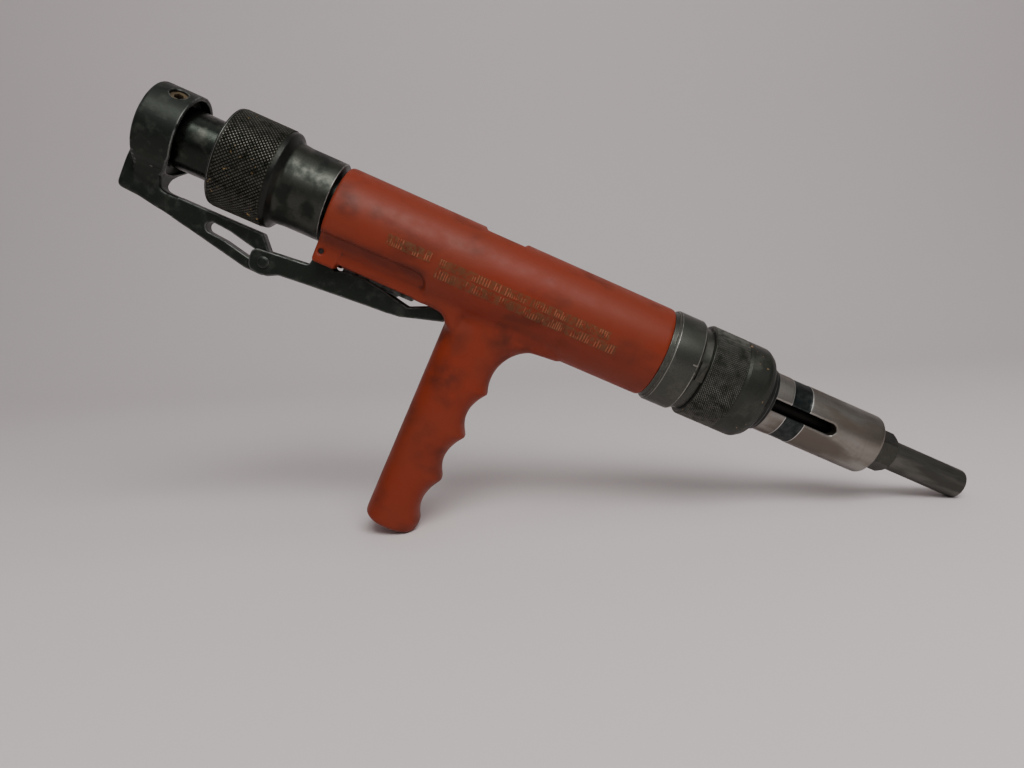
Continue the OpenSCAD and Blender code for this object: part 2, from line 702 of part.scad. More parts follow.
module piston() color([0.46, 0.46, 0.48]) place() {
    head_r = bore_r - run_fit;
    groove = head_r - piston_ring_depth;
    turned(concat(
        [[0, piston_rear], [head_r - 0.4, piston_rear], [head_r, piston_rear + 0.4]],
        [for (x = piston_ring_x, step = [[head_r, 0], [groove, 0], [groove, 1], [head_r, 1]])
            [step[0], x + step[1] * piston_ring_w]],
        [[head_r, piston_head_front], [piston_body_r, piston_head_front],
            [piston_body_r, piston_body_front - 0.5], [piston_body_r - 0.5, piston_body_front],
            [driver_r, piston_body_front], [driver_r, driver_front], [0, driver_front]]));
}

module piston_ring(x) color([0.28, 0.28, 0.29]) place() {
    groove = bore_r - run_fit - piston_ring_depth + seat_fit;
    turned([[groove, x + seat_fit], [bore_r - run_fit / 2, x + seat_fit],
        [bore_r - run_fit / 2, x + piston_ring_w - seat_fit], [groove, x + piston_ring_w - seat_fit]]);
}

module rear_piston_ring() piston_ring(piston_ring_x[0]);
module front_piston_ring() piston_ring(piston_ring_x[1]);

housing();
receiver_tube();
breech_block();
breech_retaining_ring();
lever_pivot_pin();
spring_plate();
lever_spring();
front_ring();
guide_pin();
wiper_bush();
breech_cap();
firing_yoke();
striker_sleeve();
hammer_rod();
main_spring();
yoke_set_screw();
firing_pin();
firing_pin_spring();
trigger_lever();
lever_rivet();
knurled_collar();
lock_key();
lock_key_spring();
barrel_sleeve();
buffer_ring();
muzzle_tube();
muzzle_nut();
piston();
rear_piston_ring();
front_piston_ring();
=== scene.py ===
"""Dresses the powder-actuated nail gun: cast housing, knurled steel, blued striker and worn barrel.

Every piece is modelled in the tool's own millimetres: x runs along the barrel from the housing's rear face, z
points away from the grip, and y completes the frame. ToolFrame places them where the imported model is.
"""

from __future__ import annotations

import json
import logging
import math
import random
from collections.abc import Callable, Sequence
from dataclasses import dataclass
from enum import Enum

import bmesh
import bpy
from mathutils import Matrix, Vector


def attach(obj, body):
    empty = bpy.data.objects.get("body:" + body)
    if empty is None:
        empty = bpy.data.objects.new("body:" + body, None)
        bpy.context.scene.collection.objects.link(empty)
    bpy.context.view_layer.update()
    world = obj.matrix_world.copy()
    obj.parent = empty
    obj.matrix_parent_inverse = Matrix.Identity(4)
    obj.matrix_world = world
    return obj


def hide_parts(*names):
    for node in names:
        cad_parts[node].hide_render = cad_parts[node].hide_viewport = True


MM = 0.001
# first and last station of the dark band round the barrel
BAND = (219.2, 228.2)
# the rivet's centre in x and z, where the lever meets the yoke's arm
RIVET = (-19.8, -31.9)

log = logging.getLogger("nail_gun")
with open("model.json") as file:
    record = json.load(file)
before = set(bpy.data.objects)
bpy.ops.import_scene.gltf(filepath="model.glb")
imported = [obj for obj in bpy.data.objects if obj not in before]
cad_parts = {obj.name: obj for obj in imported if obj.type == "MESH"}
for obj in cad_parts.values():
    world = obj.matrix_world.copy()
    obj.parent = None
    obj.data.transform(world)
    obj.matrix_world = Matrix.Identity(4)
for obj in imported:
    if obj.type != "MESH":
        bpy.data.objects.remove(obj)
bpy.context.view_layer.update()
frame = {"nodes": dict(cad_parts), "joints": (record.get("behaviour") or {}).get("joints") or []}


class ToolFrame:
    """The tool's own axes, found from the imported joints, and its matrix into the row frame."""

    def __init__(self) -> None:
        """Reads the barrel's line and the housing's rear face."""
        joints = {joint["name"]: joint for joint in frame["joints"]}
        self.along = Vector(joints["barrel_slide"]["axis"]).normalized()
        self.side = Vector((0, 1, 0))
        self.up = self.along.cross(self.side)
        on_axis = Vector(joints["collar_turn"]["pos_m"])
        rear = min(self.along.dot(v.co - on_axis) for v in frame["nodes"]["housing"].data.vertices)
        self.origin = on_axis + rear * self.along
        self.turn = Matrix((self.along, self.side, self.up)).transposed()
        self.matrix = (Matrix.Translation(self.origin) @ self.turn.to_4x4()
                       @ Matrix.Diagonal((MM, MM, MM, 1)))
        self.pivot = self.inverse(Vector(joints["lever_turn"]["pos_m"]))
        self.breech_z = self.inverse(Vector(joints["breech_cap_turn"]["pos_m"])).z

    def inverse(self, point: Vector) -> Vector:
        """Returns a row-frame point in the tool's millimetres."""
        return self.matrix.inverted() @ point

    def span(self, node: str) -> tuple[float, float]:
        """Where a node starts and ends along the barrel.

        Args:
            node: a CAD node's name.

        Returns:
            Its first and last station in millimetres.
        """
        stations = [self.along.dot(v.co - self.origin) / MM for v in frame["nodes"][node].data.vertices]
        return min(stations), max(stations)


TOOL = ToolFrame()


# ---- Shader maths ----


class Value:
    """A socket that can be used in Python expressions."""

    def __init__(self, graph: Graph, socket: bpy.types.NodeSocket) -> None:
        """Wraps one output socket of a graph."""
        self.graph = graph
        self.socket = socket

    def _math(self, operation: str, *terms: object) -> Value:
        """Adds one Math node over the terms."""
        return self.graph.node("ShaderNodeMath", {"operation": operation}, dict(enumerate(terms)))

    def __add__(self, other: object) -> Value:
        """self + other"""
        return self._math("ADD", self, other)

    def __sub__(self, other: object) -> Value:
        """self - other"""
        return self._math("SUBTRACT", self, other)

    def __rsub__(self, other: object) -> Value:
        """other - self"""
        return self._math("SUBTRACT", other, self)

    def __mul__(self, other: object) -> Value:
        """self * other"""
        return self._math("MULTIPLY", self, other)

    def root(self) -> Value:
        """The square root."""
        return self._math("SQRT", self)

    def step(self, low: float, high: float) -> Value:
        """Rises smoothly from 0 at low to 1 at high; falls when low is the larger."""
        rises = high > low
        ends = {"From Min": min(low, high), "From Max": max(low, high)}
        ends |= {"To Min": 0.0 if rises else 1.0, "To Max": 1.0 if rises else 0.0}
        smooth = {"interpolation_type": "SMOOTHSTEP"}
        return self.graph.node("ShaderNodeMapRange", smooth, {"Value": self, **ends})

    def within(self, low: float, high: float, soft: float) -> Value:
        """1 between low and high, fading over soft outside them."""
        return self.step(low - soft, low) * self.step(high + soft, high)


Tint = tuple[float, float, float]
Stretch = tuple[float, float, float]


class Graph:
    """One material's nodes, with the tool's millimetres as its coordinates."""

    def __init__(self, name: str) -> None:
        """Starts a material with a Principled shader."""
        self.material = bpy.data.materials.new(name)
        self.material.use_nodes = True
        self.tree = self.material.node_tree
        self.shader = self.tree.nodes["Principled BSDF"]
        coordinates = self.node("ShaderNodeTexCoord", {}, {}, "Object")
        placing = {"Location": TOOL.origin, "Rotation": TOOL.turn.to_euler(), "Scale": (MM, MM, MM)}
        self.place = self.node("ShaderNodeMapping", {"vector_type": "TEXTURE"},
                               {"Vector": coordinates, **placing})
        self.x = self.node("ShaderNodeSeparateXYZ", {}, {"Vector": self.place})
        axes = self.x.socket.node.outputs
        self.y, self.z = Value(self, axes["Y"]), Value(self, axes["Z"])

    def node(self, kind: str, settings: dict, inputs: dict, output: object = 0) -> Value:
        """Adds a node.

        Args:
            kind: the node's type.
            settings: its properties, set before its sockets.
            inputs: values or Values by socket name or number.
            output: the output's name or number.

        Returns:
            The output as a Value.
        """
        made = self.tree.nodes.new(kind)
        for name, setting in settings.items():
            setattr(made, name, setting)
        for name, value in inputs.items():
            if isinstance(value, Value):
                self.tree.links.new(value.socket, made.inputs[name])
            else:
                made.inputs[name].default_value = value
        return Value(self, made.outputs[output])

    def noise(self, size: float, detail: float = 3.0, stretch: Stretch = (1, 1, 1),
              shift: float = 0.0) -> Value:
        """Noise from 0 to 1.

        Args:
            size: the size of its blotches in millimetres.
            detail: how many finer layers it has.
            stretch: how many times longer blotches are along x, y and z.
            shift: moves the pattern, so that two noises differ.

        Returns:
            The noise.
        """
        scale = tuple(1 / (size * times) for times in stretch)
        moved = self.node("ShaderNodeMapping", {},
                          {"Vector": self.place, "Location": (shift,) * 3, "Scale": scale})
        return self.node("ShaderNodeTexNoise", {}, {"Vector": moved, "Scale": 1.0, "Detail": detail}, "Fac")

    def mix(self, share: object, first: object, second: object) -> Value:
        """Mixes two colours by a share."""
        made = self.tree.nodes.new("ShaderNodeMix")
        made.data_type = "RGBA"
        sockets = {s.identifier: s for s in made.inputs}
        for key, value in (("Factor_Float", share), ("A_Color", first), ("B_Color", second)):
            if isinstance(value, Value):
                self.tree.links.new(value.socket, sockets[key])
            else:
                sockets[key].default_value = (*value, 1.0) if isinstance(value, tuple) else value
        return Value(self, next(s for s in made.outputs if s.identifier == "Result_Color"))

    def attribute(self, name: str) -> Value:
        """A number that the mesh carries at its vertices."""
        return self.node("ShaderNodeAttribute", {"attribute_name": name}, {}, "Fac")

    def pointiness(self) -> Value:
        """How far the surface sticks out, 0.5 where it is flat."""
        return self.node("ShaderNodeNewGeometry", {}, {}, "Pointiness")

    def feed(self, name: str, value: object) -> None:
        """Sets or links one of the shader's sockets."""
        socket = self.shader.inputs[name]
        if isinstance(value, Value):
            self.tree.links.new(value.socket, socket)
        else:
            socket.default_value = (*value, 1.0) if isinstance(value, tuple) else value

    def relief(self, height: Value, depth: float) -> None:
        """Bumps the surface by a height of that many millimetres."""
        bump = {"Height": height, "Distance": depth * MM, "Strength": 1.0}
        self.feed("Normal", self.node("ShaderNodeBump", {}, bump, "Normal"))


# ---- Finishes ----

Painter = Callable[[Graph, Value], Value]


class Cue(Enum):
    """What tells a finish where it has worn bright."""

    NONE = "none"
    ATTRIBUTE = "wear"
    POINTINESS = "pointiness"


@dataclass(frozen=True)
class Metal:
    """A metal finish: a base colour, a patina in blotches, worn edges, flecks and fine scratches."""

    name: str
    base: Tint
    patina: Tint
    patina_size: float = 9.0
    patina_from: float = 0.45
    patina_stretch: Stretch = (1, 1, 1)
    worn: Tint = (0.36, 0.35, 0.33)
    cue: Cue = Cue.ATTRIBUTE
    wear: float = 0.8
    fleck: Tint = (0.16, 0.07, 0.02)
    fleck_from: float = 0.74
    fleck_size: float = 2.2
    metallic: float = 0.9
    rough: float = 0.38
    rough_spread: float = 0.16
    brushed: Stretch = (1, 1, 1)
    relief: float = 0.02

    def build(self, extra: Painter | None = None) -> bpy.types.Material:
        """Makes the material.

        Args:
            extra: paints something more on the colour.

        Returns:
            The material.
        """
        g = Graph(self.name)
        blotches = g.noise(self.patina_size, 4.0, self.patina_stretch)
        blotches = blotches.step(self.patina_from, self.patina_from + 0.22)
        colour = g.mix(blotches, self.base, self.patina)
        grain = g.noise(0.8, 3.0, self.brushed, 7.0)
        colour = g.mix(grain.step(0.35, 0.8) * 0.35, colour, tuple(0.45 * c for c in self.base))
        if self.cue is not Cue.NONE:
            edge = g.attribute("wear") if self.cue is Cue.ATTRIBUTE else g.pointiness().step(0.507, 0.54)
            rubbed = edge * g.noise(3.0, 3.0, shift=3.0).step(0.25, 0.6) * self.wear
            colour = g.mix(rubbed, colour, self.worn)
        flecks = g.noise(self.fleck_size, 2.0, shift=11.0).step(self.fleck_from, self.fleck_from + 0.05)
        flecks = flecks * g.noise(11.0, 2.0, shift=21.0).step(0.5, 0.57)
        colour = g.mix(flecks, colour, self.fleck)
        if extra:
            colour = extra(g, colour)
        g.feed("Base Color", colour)
        g.feed("Metallic", (1 - flecks * 0.8) * self.metallic)
        g.feed("Roughness", blotches * self.rough_spread + grain * 0.12 + (self.rough - 0.06))
        g.relief(grain, self.relief)
        return g.material


def paint_band(g: Graph, colour: Value) -> Value:
    """Stains the barrel with soot and paints its dark band between painted highlight lines along its edges.

    Args:
        g: the material's nodes.
        colour: the steel's colour.

    Returns:
        The colour with the stain and the band.
    """
    first, last = BAND
    soot = g.noise(16.0, 4.0, (2.5, 1, 1), 5.0).step(0.42, 0.72)
    colour = g.mix(soot * 0.55, colour, (0.15, 0.115, 0.085))
    mottle = g.noise(2.2, 3.0, shift=8.0)
    dark = g.mix(mottle.step(0.3, 0.8), (0.03, 0.036, 0.036), (0.06, 0.068, 0.066))
    # painted highlight: bright lines just outside the band, where its rounded edges would catch the light
    colour = g.mix(g.x.within(first - 0.3, last + 0.3, 0.1), colour, (0.62, 0.61, 0.58))
    return g.mix(g.x.within(first, last, 0.15), colour, dark)


@dataclass(frozen=True)
class Paint:
    """The housing's satin orange-red paint, with smudges, painted shade in its hollows and along its crease,
    and dirt round its raised marks.
    """

    name: str = "orange_paint"
    fresh: Tint = (0.205, 0.0245, 0.0072)
    faded: Tint = (0.19, 0.028, 0.0105)
    # dark colour of the smudges and stains, also used for painted shade along the crease and in the hollows
    grime_and_shade: Tint = (0.045, 0.012, 0.007)
    olive: Tint = (0.1, 0.065, 0.026)
    stains: tuple[tuple[float, float, float, float], ...] = ()
    rows: tuple[tuple[float, float, float, float], ...] = ()
    crease: tuple[float, float] = (4.0, 46.0)

    def build(self) -> bpy.types.Material:
        """Makes the material."""
        g = Graph(self.name)
        colour = g.mix(g.noise(42.0, 3.0).step(0.35, 0.7), self.fresh, self.faded)
        smudge = g.noise(13.0, 5.0, (1.8, 1, 1), 4.0).step(0.53, 0.78)
        colour = g.mix(smudge * 0.5, colour, self.grime_and_shade)
        spots = g.noise(3.4, 2.0, shift=9.0).step(0.735, 0.775)
        colour = g.mix(spots * 0.75, colour, (0.035, 0.02, 0.016))
        # painted shade: the near side is darkened along the crease where the tube meets the trigger box,
        # broken up by noise
        crease_shade = g.z.within(-11.5, -8.2, 2.4) * g.x.within(*self.crease, 4.0)
        near = g.y.step(6.0, -6.0)
        colour = g.mix(crease_shade * near * g.noise(9.0, 3.0, shift=2.0).step(0.25, 0.6) * 0.4, colour, self.grime_and_shade)
        for x, z, radius, strength in self.stains:
            away = ((g.x - x) * (g.x - x) + (g.z - z) * (g.z - z)).root()
            patch = away.step(radius * 1.5, radius * 0.3) * g.noise(7.0, 5.0, shift=13.0).step(0.3, 0.66)
            colour = g.mix(patch * g.y.step(0.0, -4.0) * strength, colour, self.grime_and_shade)
        # painted shade: concave hollows, found by pointiness, are darkened with the dark grime colour
        hollow = g.pointiness().step(0.492, 0.462)
        colour = g.mix(hollow * 0.7, colour, self.grime_and_shade)
        for low, high, first, last in self.rows:
            area = g.x.within(first, last, 0.8) * g.z.within(low, high, 0.5) * g.y.step(0.0, -4.0)
            dirt = area * g.noise(1.6, 3.0, shift=6.0).step(0.32, 0.6)
            colour = g.mix(dirt * 0.55, colour, self.olive)
        rubbed = g.pointiness().step(0.53, 0.6) * g.noise(5.0, 3.0, shift=1.0).step(0.42, 0.62)
        colour = g.mix(rubbed * 0.35, colour, (0.6, 0.19, 0.1))
        g.feed("Base Color", colour)
        g.feed("Roughness", g.noise(6.0, 4.0).step(0.2, 0.85) * 0.16 + smudge * 0.1 + 0.4)
        g.feed("Specular IOR Level", 0.25)
        g.relief(g.noise(1.5, 3.0) * 0.6 + g.noise(0.35, 2.0) * 0.4, 0.05)
        return g.material


@dataclass(frozen=True)
class Rubber:
    """Matt black rubber with a dusty bloom."""

    name: str = "black_rubber"

    def build(self) -> bpy.types.Material:
        """Makes the material."""
        g = Graph(self.name)
        bloom = g.noise(4.0, 4.0).step(0.45, 0.8)
        g.feed("Base Color", g.mix(bloom, (0.012, 0.012, 0.012), (0.035, 0.034, 0.032)))
        g.feed("Roughness", bloom * 0.2 + 0.55)
        g.relief(g.noise(0.5, 2.0), 0.02)
        return g.material


BLACKENED = Metal("blackened_steel", (0.013, 0.018, 0.013), (0.034, 0.04, 0.033), 4.0, 0.5,
                  worn=(0.2, 0.21, 0.2), cue=Cue.POINTINESS, wear=0.7, fleck_from=0.8, metallic=0.6,
                  rough=0.4)
BLUED = Metal("blued_steel", (0.022, 0.027, 0.022), (0.06, 0.063, 0.054), 7.0, 0.5, worn=(0.22, 0.23, 0.22),
              fleck_from=0.9, rough=0.25, rough_spread=0.12, relief=0.006)
NECK = Metal("grey_neck", (0.05, 0.054, 0.046), (0.02, 0.024, 0.02), 7.0, 0.42, worn=(0.36, 0.36, 0.34),
             fleck_from=0.82, rough=0.33)
KNURLED = Metal("knurled_steel", (0.017, 0.019, 0.014), (0.026, 0.027, 0.02), 9.0, 0.5,
                worn=(0.1, 0.1, 0.085), wear=0.8, fleck=(0.34, 0.22, 0.08), fleck_from=0.66, fleck_size=2.3,
                metallic=0.75, rough=0.42)
COLLAR = Metal("collar_steel", (0.042, 0.046, 0.039), (0.07, 0.073, 0.062), 8.0, 0.48,
               worn=(0.17, 0.17, 0.15), fleck=(0.24, 0.15, 0.065), fleck_from=0.67, fleck_size=2.1,
               metallic=0.8, rough=0.4)
RING = Metal("ring_steel", (0.07, 0.074, 0.064), (0.1, 0.102, 0.088), 9.0, 0.5, worn=(0.38, 0.37, 0.33),
             fleck_from=0.84, metallic=0.85, rough=0.38)
BARREL = Metal("barrel_steel", (0.32, 0.31, 0.285), (0.15, 0.13, 0.11), 12.0, 0.42, (3, 1, 1),
               worn=(0.55, 0.53, 0.5), cue=Cue.POINTINESS, wear=0.2, fleck_from=0.9, metallic=1.0,
               rough=0.36, brushed=(0.35, 6, 6))
TUBE = Metal("tube_steel", (0.13, 0.128, 0.115), (0.07, 0.07, 0.062), 5.0, 0.4, (5, 1, 1),
             worn=(0.36, 0.35, 0.33), fleck_from=0.86, metallic=0.95, rough=0.4, brushed=(8, 0.8, 0.8))
NUT = Metal("nut_steel", (0.07, 0.071, 0.062), (0.11, 0.11, 0.097), 5.0, 0.5, worn=(0.42, 0.42, 0.39),
            fleck_from=0.86, metallic=0.95, rough=0.38)
MACHINED = Metal("machined_steel", (0.34, 0.34, 0.34), (0.2, 0.19, 0.18), 8.0, 0.5, cue=Cue.NONE,
                 fleck_from=0.9, rough=0.34)
SOOTED = Metal("sooted_steel", (0.028, 0.026, 0.024), (0.06, 0.056, 0.05), 6.0, 0.6, cue=Cue.NONE,
               fleck_from=0.9, metallic=0.5, rough=0.6)
SPRING = Metal("spring_steel", (0.16, 0.16, 0.165), (0.09, 0.085, 0.08), 4.0, 0.5, cue=Cue.NONE, rough=0.36)
SCREW = Metal("rusty_screw", (0.05, 0.037, 0.022), (0.028, 0.023, 0.017), 1.8, 0.4, worn=(0.13, 0.095, 0.05),
              cue=Cue.POINTINESS, metallic=0.4, rough=0.6)
BUSH = Metal("bush_steel", (0.02, 0.021, 0.02), (0.03, 0.03, 0.028), 5.0, 0.5, worn=(0.14, 0.14, 0.13),
             fleck_from=0.9, metallic=0.6, rough=0.4)


# ---- Modelling ----

Point = tuple[float, float]


def arc(cx: float, cz: float, radius: float, start: float, end: float, steps: int = 8) -> list[Point]:
    """Points along an arc.

    Args:
        cx: the centre's first coordinate.
        cz: the centre's second coordinate.
        radius: the arc's radius.
        start: the first angle in degrees.
        end: the last angle in degrees.
        steps: the number of chords.

    Returns:
        The points in order.
    """
    angles = [math.radians(start + (end - start) * i / steps) for i in range(steps + 1)]
    return [(cx + radius * math.cos(a), cz + radius * math.sin(a)) for a in angles]


def rounded(corners: Sequence[tuple[float, ...]], closed: bool,
            steps: int = 4) -> list[tuple[float, float, float]]:
    """Rounds a line's corners.

    Args:
        corners: (first, second, radius) of each corner; a radius of 0 keeps it sharp.
        closed: whether the last corner joins the first.
        steps: chords to each rounding.

    Returns:
        (first, second, wear) points, where wear is 1 on a small rounding.
    """
    made: list[tuple[float, float, float]] = []
    count = len(corners)
    for i, (u, w, *rest) in enumerate(corners):
        radius = rest[0] if rest else 0.0
        here = Vector((u, w))
        if radius == 0 or (not closed and i in (0, count - 1)):
            made.append((u, w, 0.0))
            continue
        back = Vector(corners[i - 1][:2]) - here
        ahead = Vector(corners[(i + 1) % count][:2]) - here
        half = back.angle(ahead) / 2
        reach = min(radius / math.tan(half), 0.49 * back.length, 0.49 * ahead.length)
        start, end = here + back.normalized() * reach, here + ahead.normalized() * reach
        for k in range(steps + 1):
            t = k / steps
            bent = start.lerp(here, t).lerp(here.lerp(end, t), t)
            made.append((bent.x, bent.y, 1.0 if 0 < k < steps and radius <= 0.8 else 0.0))
    return made


def turned(corners: Sequence[tuple[float, ...]], centre_z: float = 0.0, steps: int = 128,
           rounding: int = 4, closed: bool = True) -> bmesh.types.BMesh:
    """A turned piece.

    Args:
        corners: (station, radius, rounding) of its outline.
        centre_z: height of its axis.
        steps: facets round it.
        rounding: chords to each rounding.
        closed: whether the outline is a ring, or starts and ends on the axis.

    Returns:
        Its mesh, with wear on its rounded edges.
    """
    bm = bmesh.new()
    wear = bm.verts.layers.float.new("wear")
    line = rounded(corners, closed, rounding)
    verts = []
    for x, r, worn in line:
        vert = bm.verts.new((x, 0, r))
        vert[wear] = worn
        verts.append(vert)
    edges = [bm.edges.new(pair) for pair in zip(verts, verts[1:])]
    if closed:
        edges.append(bm.edges.new((verts[-1], verts[0])))
    bmesh.ops.spin(bm, geom=verts + edges, cent=(0, 0, 0), axis=(1, 0, 0), angle=math.tau, steps=steps,
                   use_merge=True)
    bmesh.ops.remove_doubles(bm, verts=bm.verts, dist=1e-4)
    bmesh.ops.translate(bm, verts=bm.verts, vec=(0, 0, centre_z))
    bmesh.ops.recalc_face_normals(bm, faces=bm.faces)
    return bm


def prism(corners: Sequence[tuple[float, ...]], low: float, high: float, edge: float = 0.0,
          rounding: int = 4) -> bmesh.types.BMesh:
    """A plate whose outline lies in x and z.

    Args:
        corners: (x, z, rounding) of its outline.
        low: its lower y.
        high: its upper y.
        edge: bevel along its two outlines.
        rounding: chords to each rounded corner.

    Returns:
        Its mesh.
    """
    bm = bmesh.new()
    bm.verts.layers.float.new("wear")
    verts = [bm.verts.new((x, low, z)) for x, z, _ in rounded(corners, True, rounding)]
    face = bm.faces.new(verts)
    top = bmesh.ops.extrude_face_region(bm, geom=[face])
    moved = [v for v in top["geom"] if isinstance(v, bmesh.types.BMVert)]
    bmesh.ops.translate(bm, verts=moved, vec=(0, high - low, 0))
    if edge:
        rims = [e for e in bm.edges if abs(e.verts[0].co.y - e.verts[1].co.y) < 1e-6]
        bmesh.ops.bevel(bm, geom=rims, offset=edge, segments=3, profile=0.5, affect="EDGES", material=-1)
    bmesh.ops.recalc_face_normals(bm, faces=bm.faces)
    return bm


def bar(corners: Sequence[tuple[float, ...]], low: float, high: float,
        edge: float = 0.0) -> bmesh.types.BMesh:
    """A bar along x whose outline is (y, z, rounding), from low to high."""
    bm = prism(corners, low, high, edge)
    for v in bm.verts:
        v.co = Vector((v.co.y, v.co.x, v.co.z))
    bmesh.ops.recalc_face_normals(bm, faces=bm.faces)
    return bm


def across(radius: float, x: float, z: float, low: float, high: float, steps: int = 48) -> bmesh.types.BMesh:
    """A cylinder along y, from low to high."""
    bm = bmesh.new()
    spot = Matrix.Translation((x, (low + high) / 2, z)) @ Matrix.Rotation(math.pi / 2, 4, "X")
    bmesh.ops.create_cone(bm, cap_ends=True, segments=steps, radius1=radius, radius2=radius,
                          depth=high - low, matrix=spot)
    return bm


def as_mesh(bm: bmesh.types.BMesh, name: str) -> bpy.types.Mesh:
    """Turns a bmesh into a mesh and frees it."""
    mesh = bpy.data.meshes.new(name)
    bm.to_mesh(mesh)
    bm.free()
    return mesh


def joined(parts: Sequence[bmesh.types.BMesh]) -> bmesh.types.BMesh:
    """Puts several meshes in one."""
    whole = parts[0]
    for part in parts[1:]:
        mesh = as_mesh(part, "part")
        whole.from_mesh(mesh)
        bpy.data.meshes.remove(mesh)
    return whole


def as_solids(parts: Sequence[bmesh.types.BMesh]) -> list[bpy.types.Object]:
    """Makes an object of each mesh, for modifiers to work on."""
    objects = []
    for part in parts:
        made = bpy.data.objects.new("solid", as_mesh(part, "solid"))
        bpy.context.scene.collection.objects.link(made)
        objects.append(made)
    return objects


def carve(base: bpy.types.Object, other: bpy.types.Object, operation: str, solver: str) -> None:
    """Adds a boolean of one object with another."""
    step = base.modifiers.new("step", "BOOLEAN")
    step.object = other
    step.solver = solver
    step.operation = operation


def settled(objects: Sequence[bpy.types.Object]) -> bmesh.types.BMesh:
    """Takes the first object's shape after its modifiers, and removes all the objects.

    Args:
        objects: the object with the modifiers, then those that they use.

    Returns:
        Its finished shape.
    """
    graph = bpy.context.evaluated_depsgraph_get()
    mesh = bpy.data.meshes.new_from_object(objects[0].evaluated_get(graph))
    bm = bmesh.new()
    bm.from_mesh(mesh)
    bpy.data.meshes.remove(mesh)
    for made in objects:
        data = made.data
        bpy.data.objects.remove(made)
        bpy.data.meshes.remove(data)
    return bm


def cast(parts: Sequence[bmesh.types.BMesh], cuts: Sequence[bmesh.types.BMesh], voxel: float,
         relax: int) -> bmesh.types.BMesh:
    """Fuses solids, cuts others out, and softens every edge and corner, as a casting or forging is.

    Args:
        parts: closed solids to fuse.
        cuts: closed solids to remove.
        voxel: the size of the remeshed surface's faces.
        relax: how many times it is smoothed.

    Returns:
        The fused surface.
    """
    objects = as_solids([*parts, *cuts])
    base = objects[0]
    for i, other in enumerate(objects[1:], start=1):
        carve(base, other, "UNION" if i < len(parts) else "DIFFERENCE", "MANIFOLD")
    remesh = base.modifiers.new("remesh", "REMESH")
    remesh.mode = "VOXEL"
    remesh.voxel_size = voxel
    smooth = base.modifiers.new("smooth", "SMOOTH")
    smooth.iterations = relax
    smooth.factor = 0.5
    return settled(objects)


def true_up(bm: bmesh.types.BMesh, radius: float, centre_z: float, keep: Callable[[Vector], bool],
            reach: float = 0.12) -> None:
    """Moves points that nearly lie on a turned surface exactly onto it.

    Args:
        bm: the mesh.
        radius: the surface's radius.
        centre_z: the height of its axis.
        keep: tells which points may move.
        reach: how far off a point may be.
    """
    for v in bm.verts:
        out = Vector((0, v.co.y, v.co.z - centre_z))
        if abs(out.length - radius) < reach and keep(v.co):
            out = out * (radius / out.length)
            v.co = Vector((v.co.x, out.y, out.z + centre_z))


def melt(bm: bmesh.types.BMesh, where: Callable[[Vector], bool], times: int) -> None:
    """Smooths part of a surface many times, to run one form into another.

    Args:
        bm: the mesh.
        where: tells which points are smoothed.
        times: how often.
    """
    verts = [v for v in bm.verts if where(v.co)]
    for _ in range(times):
        bmesh.ops.smooth_vert(bm, verts=verts, factor=0.5, use_axis_x=True, use_axis_y=True,
                              use_axis_z=True)


def knurl(start: float, end: float, radius: float, centre_z: float, cell: float, depth: float,
          inner: float) -> bmesh.types.BMesh:
    """A ring of diamond knurling.

    Args:
        start: its first station.
        end: its last station.
        radius: its radius over the diamonds.
        centre_z: the height of its axis.
        cell: a diamond's length and width.
        depth: how deep the grooves are.
        inner: the ring's inner radius.

    Returns:
        A closed ring, with wear on the diamonds' tops.
    """
    bm = bmesh.new()
    wear = bm.verts.layers.float.new("wear")
    rows = round((end - start) / cell)
    columns = round(math.tau * radius / cell)
    bmesh.ops.create_grid(bm, x_segments=rows, y_segments=columns, size=0.5)
    flat = list(bm.edges)
    bmesh.ops.poke(bm, faces=bm.faces)
    inside = [e for e in flat if e.is_valid and len(e.link_faces) == 2]
    bmesh.ops.dissolve_edges(bm, edges=inside, use_verts=False)
    for v in bm.verts:
        angle = v.co.y * math.tau
        v.co = Vector((start + (v.co.x + 0.5) * (end - start), math.sin(angle), math.cos(angle)))
    bmesh.ops.remove_doubles(bm, verts=bm.verts, dist=1e-5)
    low = radius - depth
    for v in bm.verts:
        v.co = Vector((v.co.x, v.co.y * low, v.co.z * low))
    rims = [[e for e in bm.edges if e.is_boundary and abs(e.verts[0].co.x - x) < 1e-4]
            for x in (start, end)]
    # seam halves of the first and last columns are merged into diamonds before the tops are raised
    seam = [e for e in bm.edges if len(e.link_faces) == 2 and abs(e.verts[0].co.y) < 1e-5
            and abs(e.verts[1].co.y) < 1e-5 and e.verts[0].co.z < 0 and e.verts[1].co.z < 0]
    bmesh.ops.dissolve_edges(bm, edges=seam, use_verts=False)
    bmesh.ops.recalc_face_normals(bm, faces=bm.faces)
    outward = sum((f.normal.dot(Vector((0, *f.calc_center_median().yz))) for f in bm.faces), 0.0)
    if outward < 0:
        bmesh.ops.reverse_faces(bm, faces=bm.faces)
    tops = [f for f in bm.faces if len(f.verts) == 4]
    bmesh.ops.inset_individual(bm, faces=tops, thickness=cell * 0.2, depth=depth, use_even_offset=True)
    for f in tops:
        for v in f.verts:
            v[wear] = 1.0
    for loop in rims:
        loop = [e for e in loop if e.is_valid]
        out = bmesh.ops.extrude_edge_only(bm, edges=loop)
        for v in (g for g in out["geom"] if isinstance(g, bmesh.types.BMVert)):
            ray = Vector((0, v.co.y, v.co.z)).normalized() * inner
            v.co = Vector((v.co.x, ray.y, ray.z))
    ends = [e for e in bm.edges if e.is_boundary]
    bmesh.ops.bridge_loops(bm, edges=ends)
    bmesh.ops.recalc_face_normals(bm, faces=bm.faces)
    bmesh.ops.translate(bm, verts=bm.verts, vec=(0, 0, centre_z))
    return bm


